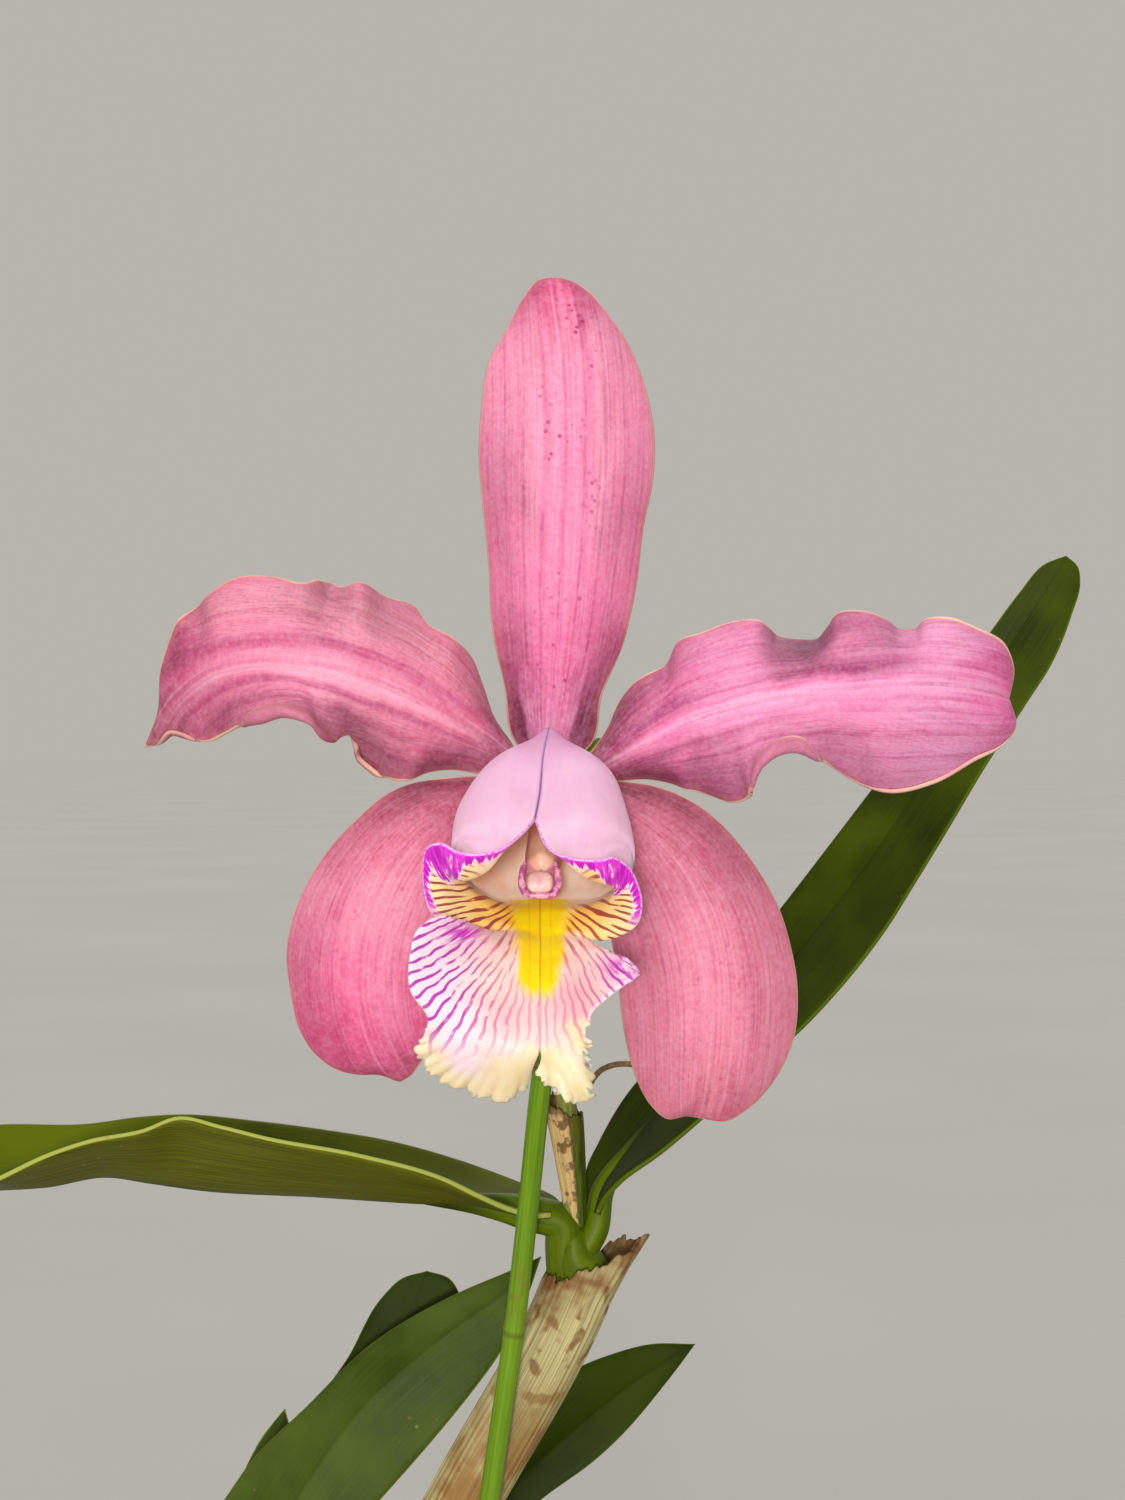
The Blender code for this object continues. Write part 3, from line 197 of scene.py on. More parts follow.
def sheet(name, place, along, across, thick, rim, colour, nodes, front, dense=0.5, extra=None, pace=None):
    """A blade, thick in the middle and rim at its margin, with what its material reads.

    front is 1 where the grid's normal is on the face that shows, else -1. The material reads s from
    base to tip, t from edge to edge, vein (lengthwise veins), margin (distance from the edge in
    millimetres) and side (1 in front, 0 behind).
    """
    s = np.linspace(0, 1, along + 1) if pace is None else pace
    x = np.linspace(-1, 1, across + 1)
    t = (1 - dense) * x + dense * np.sin(x * math.pi / 2)
    spread_s, spread_t = np.meshgrid(s, t, indexing="ij")
    middle = place(spread_s, spread_t)
    half = thick / 2 * np.ones_like(spread_s)
    step = np.linalg.norm(np.diff(middle, axis=1), axis=-1)
    left = np.concatenate([np.zeros((along + 1, 1)), np.cumsum(step, 1)], 1)
    margin = np.minimum(left, left[:, -1:] - left) / MM
    off = left - left[:, across // 2 : across // 2 + 1]
    blur = np.hanning(along // 5 * 2 + 1)
    blur /= blur.sum()
    widths = []
    for width in (-off[:, 0], off[:, -1]):
        padded = np.pad(width, len(blur) // 2, mode="edge")
        widths.append(np.maximum.accumulate(np.maximum(np.convolve(padded, blur, "valid"), 1e-5)))
    vein = off / np.where(off < 0, widths[0][:, None], widths[1][:, None])
    tip = (1 - spread_s) * run_along(middle[:, across // 2])[-1] / MM
    margin = np.minimum(margin, tip)
    soft = np.clip(margin * MM / (1.2 * thick), 0, 1)
    half = rim / 2 + (thick - rim) / 2 * np.sqrt(soft * (2 - soft))
    normal = sheet_normals(middle)
    face_up = middle + normal * half[..., None]
    face_down = middle - normal * half[..., None]
    rows, columns = along + 1, across + 1
    count = rows * columns
    faces = [grid_faces(rows, columns, 0), grid_faces(rows, columns, count, flip=True)]
    ring = np.concatenate([
        np.arange(columns),
        np.arange(1, rows) * columns + columns - 1,
        (rows - 1) * columns + np.arange(columns - 2, -1, -1),
        np.arange(rows - 2, 0, -1) * columns,
    ])
    after = np.roll(ring, -1)
    faces.append(np.stack([after, ring, ring + count, after + count], -1))
    flat = {"s": spread_s, "t": spread_t, "vein": vein, "margin": margin}
    if extra is not None:
        flat.update(extra(spread_s, spread_t, middle, margin))
    attributes = {key: np.concatenate([value.ravel(), value.ravel()]) for key, value in flat.items()}
    shown = 1.0 if front > 0 else 0.0
    attributes["side"] = np.concatenate([np.full(count, shown), np.full(count, 1.0 - shown)])
    places = np.concatenate([face_up.reshape(-1, 3), face_down.reshape(-1, 3)])
    return fast_mesh(name, places, faces, attributes, colour, nodes)


def blade(left, midrib, right, hollow=2.0, spread=1.0, curls=(), ripple=None):
    """place(s, t) for a blade between two edges, crowned or channelled about its midrib.

    curls are (side, start, end, radius, reach): a stretch of an edge that rolls over to the front
    with that radius and reaches that far back over the blade, in metres. ripple(s, t) moves places
    to the back, in metres.
    """
    lines = [(lengthwise(np.asarray(line, float)), line) for line in (left, midrib, right)]
    share = 0.16

    def flat(s, t):
        edge_left, middle, edge_right = (through(knots, line, s) for knots, line in lines)
        edge = np.where((t < 0)[..., None], edge_left[:, None], edge_right[:, None])
        middle = np.repeat(middle[:, None], t.shape[1], 1)
        reach = np.abs(t)
        point = middle.copy()
        point[..., :2] += (edge - middle)[..., :2] * (reach**spread)[..., None]
        point[..., 2] += (edge - middle)[..., 2] * reach**hollow
        place = seen(point)
        if ripple is not None:
            place[..., 1] += ripple(s[:, None] * np.ones_like(t), t)
        return place

    def place(spread_s, spread_t):
        s = spread_s[:, 0]
        amount = {-1: np.zeros_like(s), 1: np.zeros_like(s)}
        radius = {-1: np.zeros_like(s), 1: np.zeros_like(s)}
        reach = {-1: np.zeros_like(s), 1: np.zeros_like(s)}
        for side, start, end, roll, over in curls:
            here = window(s, start, end, 0.3 * (end - start))
            amount[side] = np.maximum(amount[side], here)
            radius[side] = np.maximum(radius[side], here * roll)
            reach[side] = np.maximum(reach[side], here * over)
        side_of = np.where(spread_t < 0, -1, 1)
        k = np.where(side_of < 0, amount[-1][:, None], amount[1][:, None])
        limit = 1.0 - share * np.sqrt(k)
        inner = np.clip(np.abs(spread_t) / limit, 0, 1) * side_of
        result = flat(s, inner)
        for side in (-1, 1):
            if not amount[side].any():
                continue
            edge = flat(s, np.full((len(s), 1), float(side)))[:, 0]
            near = flat(s, np.full((len(s), 1), side * 0.93))[:, 0]
            outward = unit(edge - near)
            front = unit(np.array([0.0, -1.0, 0.0]) - outward * (-outward[:, 1:2]))
            roll = radius[side][:, None]
            start = edge - outward * roll
            pulled = np.clip(np.abs(spread_t) / limit, 0, 1)[..., None]
            mine = (side_of == side)[..., None]
            shift = (start - edge)[:, None] * pulled**6
            result = np.where(mine, result + shift, result)
            past = np.clip((np.abs(spread_t) - limit) / np.maximum(1 - limit, 1e-6), 0, 1)
            length = (math.pi * radius[side] + reach[side])[:, None]
            distance = past * length
            turn = np.clip(distance / np.maximum(radius[side][:, None], 1e-7), 0, math.pi)[..., None]
            beyond = np.maximum(distance - math.pi * radius[side][:, None], 0)[..., None]
            curled = (
                start[:, None]
                + roll[:, None] * np.sin(turn) * outward[:, None]
                + roll[:, None] * (1 - np.cos(turn)) * front[:, None]
                - beyond * outward[:, None]
            )
            use = mine & (np.abs(spread_t) > limit)[..., None] & (k > 0)[..., None]
            result = np.where(use, curled, result)
        return result

    return place


def rod(name, path, radii, sides, colour, nodes, shape=None, side=(0.0, -1.0, 0.0), caps=True):
    """A round body along a path. shape(s, angle) scales its radius; angle 0 is towards side.

    The material reads s, run (length in millimetres), and ca and sa, the cosine and sine of angle.
    """
    path = np.asarray(path, float)
    count = len(path)
    ahead = unit(np.gradient(path, axis=0))
    first = unit(np.asarray(side, float) - ahead * (ahead @ np.asarray(side, float))[:, None])
    second = np.cross(ahead, first)
    angle = np.arange(sides) / sides * 2 * math.pi
    run = run_along(path)
    s = np.repeat((run / run[-1])[:, None], sides, 1)
    angles = np.repeat(angle[None], count, 0)
    radius = np.repeat(np.asarray(radii, float)[:, None], sides, 1)
    if shape is not None:
        radius = radius * shape(s, angles)
    around = np.cos(angles)[..., None] * first[:, None] + np.sin(angles)[..., None] * second[:, None]
    places = path[:, None] + around * radius[..., None]
    flat = {"s": s, "run": s * run[-1] / MM, "ca": np.cos(angles), "sa": np.sin(angles)}
    attributes = {key: value.ravel() for key, value in flat.items()}
    places = places.reshape(-1, 3)
    faces = [grid_faces(count, sides, wrap=True)]
    if caps:
        places = np.concatenate([places, path[:1], path[-1:]])
        ends = {"s": [0, 1], "run": [0, run[-1] / MM], "ca": [0, 0], "sa": [0, 0]}
        for key, values in ends.items():
            attributes[key] = np.concatenate([attributes[key], values])
        low, high = count * sides, count * sides + 1
        ring = np.arange(sides)
        after = np.roll(ring, -1)
        last = (count - 1) * sides
        faces.append(np.stack([np.full(sides, low), after, ring], -1))
        faces.append(np.stack([np.full(sides, high), last + ring, last + after], -1))
    return fast_mesh(name, places, faces, attributes, colour, nodes)


def joined(name, pieces, nodes):
    """Several pieces made one object, which stands for the nodes."""
    for other in bpy.context.selected_objects:
        other.select_set(False)
    for piece in pieces:
        piece.select_set(True)
    bpy.context.view_layer.objects.active = pieces[0]
    bpy.ops.object.join()
    made = pieces[0]
    made.name = name
    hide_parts(*nodes)
    return made


def ruggedness(places, scale, seed, octaves=3):
    """Smooth noise from -1 to 1 at each place; scale is in metres."""
    flat = np.asarray(places).reshape(-1, 3)
    shift = Vector((seed * 7.31, seed * 3.17, seed * 1.73))
    values = [noise.fractal(Vector(p / scale) + shift, 1.0, 2.0, octaves) for p in flat]
    return np.array(values).reshape(np.asarray(places).shape[:-1])


# ---- materials


class Paint:
    """A Principled material, built up from node expressions."""

    def __init__(self, name, roughness=0.5, specular=0.4, **constants):
        self.material = bpy.data.materials.new(name)
        self.material.use_nodes = True
        self.tree = self.material.node_tree
        self.shader = self.tree.nodes["Principled BSDF"]
        self.shader.inputs["Roughness"].default_value = roughness
        self.shader.inputs["Specular IOR Level"].default_value = specular
        for key, value in constants.items():
            self.shader.inputs[key.replace("_", " ")].default_value = value

    def put(self, node, index, value):
        socket = node.inputs[index]
        if isinstance(value, bpy.types.NodeSocket):
            self.tree.links.new(value, socket)
        elif socket.type == "RGBA":
            socket.default_value = (*value, 1.0) if len(value) == 3 else value
        else:
            socket.default_value = value

    def math(self, operation, *values, clamp=False):
        node = self.tree.nodes.new("ShaderNodeMath")
        node.operation = operation
        node.use_clamp = clamp
        for i, value in enumerate(values):
            self.put(node, i, value)
        return node.outputs[0]

    def add(self, *values):
        total = values[0]
        for value in values[1:]:
            total = self.math("ADD", total, value)
        return total

    def times(self, *values):
        total = values[0]
        for value in values[1:]:
            total = self.math("MULTIPLY", total, value)
        return total

    def read(self, key):
        node = self.tree.nodes.new("ShaderNodeAttribute")
        node.attribute_name = key
        return node.outputs["Fac"]

    def place(self):
        return self.tree.nodes.new("ShaderNodeTexCoord").outputs["Object"]

    def vector(self, x, y, z):
        node = self.tree.nodes.new("ShaderNodeCombineXYZ")
        for i, value in enumerate((x, y, z)):
            self.put(node, i, value)
        return node.outputs[0]

    def noise(self, vector, scale=1.0, detail=3.0, rough=0.55, distortion=0.0):
        node = self.tree.nodes.new("ShaderNodeTexNoise")
        self.put(node, "Vector", vector)
        node.inputs["Scale"].default_value = scale
        node.inputs["Detail"].default_value = detail
        node.inputs["Roughness"].default_value = rough
        node.inputs["Distortion"].default_value = distortion
        return node.outputs["Fac"]

    def cells(self, vector, scale=1.0, feature="F1"):
        node = self.tree.nodes.new("ShaderNodeTexVoronoi")
        node.feature = feature
        self.put(node, "Vector", vector)
        node.inputs["Scale"].default_value = scale
        return node.outputs["Distance"]

    def band(self, value, low, high, out_low=0.0, out_high=1.0):
        """value eased from low..high to out_low..out_high."""
        node = self.tree.nodes.new("ShaderNodeMapRange")
        node.interpolation_type = "SMOOTHSTEP"
        self.put(node, "Value", value)
        for key, number in (("From Min", low), ("From Max", high), ("To Min", out_low), ("To Max", out_high)):
            node.inputs[key].default_value = number
        return node.outputs["Result"]

    def hump(self, value, centre, width):
        """1 at centre, easing to 0 at width on each side of it."""
        return self.band(self.math("ABSOLUTE", self.math("SUBTRACT", value, centre)), 0.0, width, 1.0, 0.0)

    def mix(self, amount, low, high, mode="MIX"):
        node = self.tree.nodes.new("ShaderNodeMix")
        node.data_type = "RGBA"
        node.blend_type = mode
        self.put(node, 0, amount)
        self.put(node, 6, low)
        self.put(node, 7, high)
        return node.outputs[2]

    def ramp(self, value, *stops):
        node = self.tree.nodes.new("ShaderNodeValToRGB")
        self.put(node, 0, value)
        elements = node.color_ramp.elements
        while len(elements) < len(stops):
            elements.new(0.5)
        for element, (position, colour) in zip(elements, stops):
            element.position = position
            element.color = (*colour, 1.0)
        return node.outputs["Color"]

    def curve(self, value, *stops):
        """A number read along (position, number) stops."""
        return self.ramp(value, *[(position, (number,) * 3) for position, number in stops])

    def bump(self, height, strength=0.3, distance=0.0002, after=None):
        node = self.tree.nodes.new("ShaderNodeBump")
        node.inputs["Strength"].default_value = strength
        node.inputs["Distance"].default_value = distance
        self.put(node, "Height", height)
        if after is not None:
            self.put(node, "Normal", after)
        return node.outputs["Normal"]

    def finish(self, colour, normal=None, roughness=None, level=True):
        if level:
            colour = self.mix(1.0, colour, PAINT_LEVEL, "MULTIPLY")
        self.put(self.shader, "Base Color", colour)
        if normal is not None:
            self.put(self.shader, "Normal", normal)
        if roughness is not None:
            self.put(self.shader, "Roughness", roughness)
        return self.material


def rgb(red, green, blue):
    """A display colour, 0 to 255, as the linear values that a shader takes."""
    share = np.array([red, green, blue]) / 255.0
    linear = np.where(share <= 0.04045, share / 12.92, ((share + 0.055) / 1.055) ** 2.4)
    return tuple(float(value) for value in linear)


PAINT_LEVEL = rgb(238, 238, 238)

# ---- tables

DORSAL_LEFT = [
    (541, 768, 5.4), (526, 755, 5.3), (513, 738, 5.2), (505, 687, 5.0), (493, 633, 4.6),
    (489, 566, 4.4), (482, 496, 4.0), (479, 450, 3.6), (482, 405, 3.8), (487, 368, 4.6),
    (508, 327, 6.4), (525, 296, 8.6), (538, 281, 9.8), (553, 278, 10.2),
]
DORSAL_MIDRIB = [
    (549.5, 768.5, 5.2), (550, 740, 4.2), (558, 640, 1.4), (564, 520, 0.0), (567, 420, 0.4),
    (563, 340, 3.4), (553, 278, 10.2),
]
DORSAL_RIGHT = [
    (558, 768, 5.4), (574, 759, 5.3), (590, 746, 5.2), (602, 694, 5.0), (623, 643, 4.6),
    (636, 585, 4.4), (643, 528, 4.0), (653, 477, 3.6), (654, 435, 3.6), (645, 388, 4.2),
    (629, 346, 5.6), (607, 314, 7.4), (588, 292, 9.0), (570, 281, 9.8), (553, 278, 10.2),
]

LATERAL_LEFT_OUTER = [
    (528, 783, 5.5), (503, 779, 5.5), (477, 777, 5.2), (441, 779, 4.2), (409, 785, 3.6),
    (383, 797, 3.6), (360, 817, 4.0), (335, 843, 4.2), (310, 879, 4.2), (294, 916, 4.0),
    (287, 956, 4.0), (291, 990, 4.4), (299, 1027, 5.2), (315, 1053, 6.0), (336, 1068, 6.6),
    (356, 1073, 7.0), (378, 1073, 7.6), (400, 1081, 8.4),
]
LATERAL_LEFT_MIDRIB = [
    (529, 789, 5.2), (500, 793, 4.6), (455, 808, 1.6), (411, 842, -0.6), (378, 893, -1.6),
    (362, 950, -1.6), (364, 1010, 0.2), (380, 1055, 3.6), (400, 1081, 8.4),
]
LATERAL_LEFT_INNER = [
    (530, 797, 5.5), (516, 812, 5.3), (498, 838, 5.0), (480, 880, 4.4), (466, 930, 3.8),
    (452, 985, 3.6), (437, 1030, 4.6), (422, 1059, 6.4), (411, 1074, 7.6), (400, 1081, 8.4),
]
LATERAL_RIGHT_OUTER = [
    (570, 786, 5.5), (592, 783, 5.5), (617, 782, 5.2), (643, 784, 4.2), (677, 794, 3.6),
    (711, 815, 3.6), (736, 841, 4.0), (760, 874, 4.2), (779, 910, 4.2), (791, 950, 4.0),
    (797, 990, 4.0), (795, 1030, 4.6), (785, 1060, 5.4), (769, 1087, 6.2), (748, 1108, 6.8),
    (728, 1120, 7.2), (704, 1118, 7.6),
]
LATERAL_RIGHT_MIDRIB = [
    (569, 792, 5.2), (590, 797, 4.6), (630, 822, 1.6), (672, 862, -0.6), (702, 915, -1.8),
    (715, 970, -2.0), (716, 1030, -0.6), (711, 1080, 2.8), (704, 1118, 7.6),
]
LATERAL_RIGHT_INNER = [
    (568, 799, 5.5), (575, 815, 5.3), (588, 848, 5.0), (601, 890, 4.4), (611, 935, 3.8),
    (619, 985, 3.4), (622, 1015, 3.6), (628, 1048, 4.2), (638, 1082, 5.0), (652, 1106, 5.8),
    (667, 1118, 6.6), (686, 1115, 7.2), (704, 1118, 7.6),
]

PETAL_LEFT_UPPER = [
    (524, 766, 4.2), (511, 744, 4.0), (492, 716, 4.6), (482, 687, 5.6), (469, 655, 5.0),
    (449, 636, 2.6), (428, 625, 3.6), (414, 607, 5.6), (385, 597, 3.0), (359, 582, -0.6),
    (344, 587, 1.8), (330, 584, 4.2), (316, 580, 1.0), (303, 583, -1.6), (273, 577, 0.8),
    (234, 579, 2.0), (211, 593, 2.6), (198, 607, 6.6), (178, 620, 5.0), (173, 632, 6.0),
    (162, 668, 9.0), (159, 713, 12.6), (146, 747, 15.4),
]
PETAL_LEFT_MIDRIB = [
    (526, 773, 4.2), (511, 757, 3.4), (462, 725, 0.6), (395, 690, -2.4), (319, 666, -4.0),
    (268, 661, -3.2), (217, 670, 1.0), (180, 696, 7.6), (146, 747, 15.4),
]
PETAL_LEFT_LOWER = [
    (525, 779, 4.2), (508, 777, 4.0), (482, 774, 3.8), (451, 769, 4.2), (424, 773, 2.2),
    (405, 781, 0.4), (385, 777, 2.6), (375, 768, 5.4), (363, 757, 5.8), (357, 744, 3.0),
    (347, 735, 0.4), (334, 740, -2.6), (321, 736, -6.6), (313, 725, -8.6), (288, 717, -8.8),
    (262, 723, -5.6), (242, 726, -1.2), (228, 733, 2.6), (207, 742, 6.4), (186, 737, 9.4),
    (172, 734, 12.0), (158, 743, 14.4), (146, 747, 15.4),
]
PETAL_RIGHT_UPPER = [
    (574, 767, 4.2), (592, 751, 4.0), (607, 731, 4.4), (622, 700, 5.6), (633, 685, 4.4),
    (648, 674, 2.6), (668, 664, 5.0), (680, 641, 3.2), (702, 633, 1.2), (729, 623, 0.4),
    (756, 620, -0.2), (768, 628, 2.2), (780, 638, 5.6), (800, 641, 6.6), (817, 640, 5.0),
    (829, 627, 1.6), (841, 612, -1.2), (863, 611, -1.8), (884, 619, 0.6), (902, 630, 4.4),
    (914, 630, 4.6), (927, 619, 2.2), (946, 617, 1.0), (978, 628, 2.6), (1003, 643, 5.8),
    (1013, 666, 8.2), (1008, 699, 10.6),
]
PETAL_RIGHT_MIDRIB = [
    (572, 775, 4.2), (594, 770, 3.4), (637, 747, 0.8), (690, 720, -2.0), (760, 700, -4.0),
    (850, 687, -4.4), (930, 682, -1.0), (980, 688, 4.6), (1008, 699, 10.6),
]
PETAL_RIGHT_LOWER = [
    (572, 781, 4.2), (590, 782, 4.0), (615, 781, 3.8), (645, 778, 4.4), (673, 783, 3.0),
    (690, 790, 1.4), (711, 795, 3.2), (733, 802, 0.8), (748, 799, -1.2), (752, 786, -4.8),
    (761, 768, -7.0), (776, 756, -7.2), (796, 752, -6.0), (817, 759, -3.4), (837, 770, -0.6),
    (862, 783, 1.6), (888, 789, 3.0), (932, 780, 4.6), (975, 756, 7.4), (1004, 741, 9.6),
    (1014, 727, 10.8), (1008, 699, 10.6),
]

LEAF_RIGHT_UPPER = [
    (581, 1213, 41.5), (584, 1190, 43.0), (588, 1166, 45.0), (598, 1145, 46.5), (621, 1104, 49.0),
    (660, 1055, 51.5), (720, 985, 54.0), (783, 906, 56.0), (873, 789, 58.0), (930, 712, 59.0),
    (992, 629, 60.0), (1019, 593, 60.5), (1045, 564, 61.0), (1066, 556, 61.0),
]
LEAF_RIGHT_MIDRIB = [
    (597, 1214, 39.3), (603, 1190, 39.8), (618, 1166, 41.0), (662, 1110, 44.0), (728, 1040, 47.0),
    (800, 955, 49.5), (868, 868, 52.0), (930, 775, 54.5), (985, 690, 57.0), (1034, 610, 59.5),
    (1066, 556, 61.0),
]
LEAF_RIGHT_LOWER = [
    (597, 1214, 36.0), (604, 1200, 34.5), (617, 1185, 33.5), (662, 1152, 33.0), (703, 1118, 33.5),
    (760, 1066, 35.0), (800, 1031, 36.0), (840, 988, 38.0), (886, 928, 40.5), (913, 885, 42.5),
    (946, 832, 45.0), (986, 766, 48.5), (1025, 706, 52.0), (1052, 663, 54.5), (1072, 613, 58.0),
    (1080, 584, 60.0), (1077, 566, 61.0), (1066, 556, 61.0),
]

LEAF_LEFT_FAR = [
    (566, 1213, 42.0), (556, 1199, 45.0), (521, 1184, 48.5), (464, 1162, 50.5), (393, 1142, 51.5),
    (321, 1130, 51.5), (250, 1121, 51.0), (186, 1115, 50.5), (143, 1117, 50.0), (89, 1124, 49.5),
    (0, 1125, 48.0), (-90, 1136, 45.0), (-180, 1160, 41.0), (-245, 1196, 38.0),
]
LEAF_LEFT_MIDRIB = [
    (550, 1214, 38.5), (541, 1214, 38.0), (514, 1211, 37.5), (479, 1204, 37.5), (411, 1200, 38.0),
    (321, 1194, 38.5), (200, 1187, 38.5), (150, 1180, 38.0), (107, 1174, 37.5), (46, 1184, 37.0),
    (0, 1187, 36.5), (-90, 1190, 36.5), (-180, 1190, 37.0), (-245, 1196, 38.0),
]
LEAF_LEFT_NEAR = [
    (551, 1215, 34.0), (535, 1216, 32.5), (514, 1211, 31.0), (479, 1196, 28.0), (446, 1180, 26.0),
    (357, 1155, 24.0), (268, 1138, 23.5), (221, 1126, 24.0), (179, 1117, 24.5), (143, 1130, 24.0),
    (89, 1141, 23.5), (43, 1157, 23.5), (0, 1178, 24.0), (-60, 1204, 26.0), (-150, 1219, 30.0),
    (-215, 1212, 35.0), (-245, 1196, 38.0),
]

LOW_LEFT_UPPER = [
    (193, 1661, 46.5), (172, 1612, 48.5), (187, 1555, 51.0), (226, 1498, 52.5), (252, 1461, 53.0),
    (307, 1407, 54.0), (372, 1344, 55.0), (461, 1292, 55.5), (508, 1272, 55.5), (541, 1257, 56.0),
]
LOW_LEFT_MIDRIB = [
    (200, 1664, 44.5), (235, 1600, 44.5), (290, 1510, 46.0), (367, 1403, 48.5), (440, 1340, 51.0),
    (506, 1292, 53.0), (541, 1257, 56.0),
]
LOW_LEFT_LOWER = [
    (208, 1667, 44.0), (262, 1628, 44.0), (322, 1565, 45.0), (380, 1500, 46.0), (437, 1435, 47.5),
    (469, 1396, 48.5), (500, 1353, 50.5), (526, 1300, 53.0), (541, 1257, 56.0),
]
LOW_BEHIND_UPPER = [
    (202, 1650, 52.0), (200, 1570, 58.0), (262, 1470, 62.0), (310, 1410, 63.5), (346, 1361, 64.0),
    (383, 1296, 64.0), (401, 1279, 64.0), (427, 1271, 64.0),
]
LOW_BEHIND_MIDRIB = [
    (209, 1652, 51.0), (240, 1580, 55.0), (310, 1470, 59.0), (370, 1385, 61.0), (410, 1312, 63.0),
    (427, 1271, 64.0),
]
LOW_BEHIND_LOWER = [
    (216, 1654, 51.0), (270, 1600, 54.5), (345, 1500, 58.0), (405, 1420, 60.0), (445, 1345, 62.0),
    (459, 1293, 63.5), (450, 1279, 64.0), (427, 1271, 64.0),
]
SMALL_LEFT = [
    (246, 1632, 69.5), (226, 1560, 73.0), (233, 1500, 74.0), (245, 1470, 74.0), (262, 1437, 74.0),
    (285, 1409, 74.0),
]
SMALL_MIDRIB = [(253, 1633, 69.0), (257, 1560, 70.5), (266, 1470, 72.0), (285, 1409, 74.0)]
SMALL_RIGHT = [
    (260, 1634, 69.5), (286, 1560, 71.5), (294, 1490, 73.0), (293, 1440, 74.0), (285, 1409, 74.0),
]
LOW_RIGHT_UPPER = [
    (400, 1612, 58.0), (403, 1570, 61.0), (432, 1515, 62.0), (475, 1458, 62.5), (522, 1408, 63.0),
    (579, 1368, 63.0), (611, 1355, 63.0), (650, 1344, 63.0), (695, 1344, 63.0),
]
LOW_RIGHT_MIDRIB = [
    (407, 1613, 56.5), (470, 1530, 57.0), (560, 1443, 58.0), (640, 1379, 60.5), (695, 1344, 63.0),
]
LOW_RIGHT_LOWER = [
    (414, 1614, 55.5), (450, 1583, 55.0), (495, 1540, 55.0), (544, 1498, 55.5), (592, 1462, 56.5),
    (630, 1426, 58.0), (665, 1384, 61.0), (695, 1344, 63.0),
]

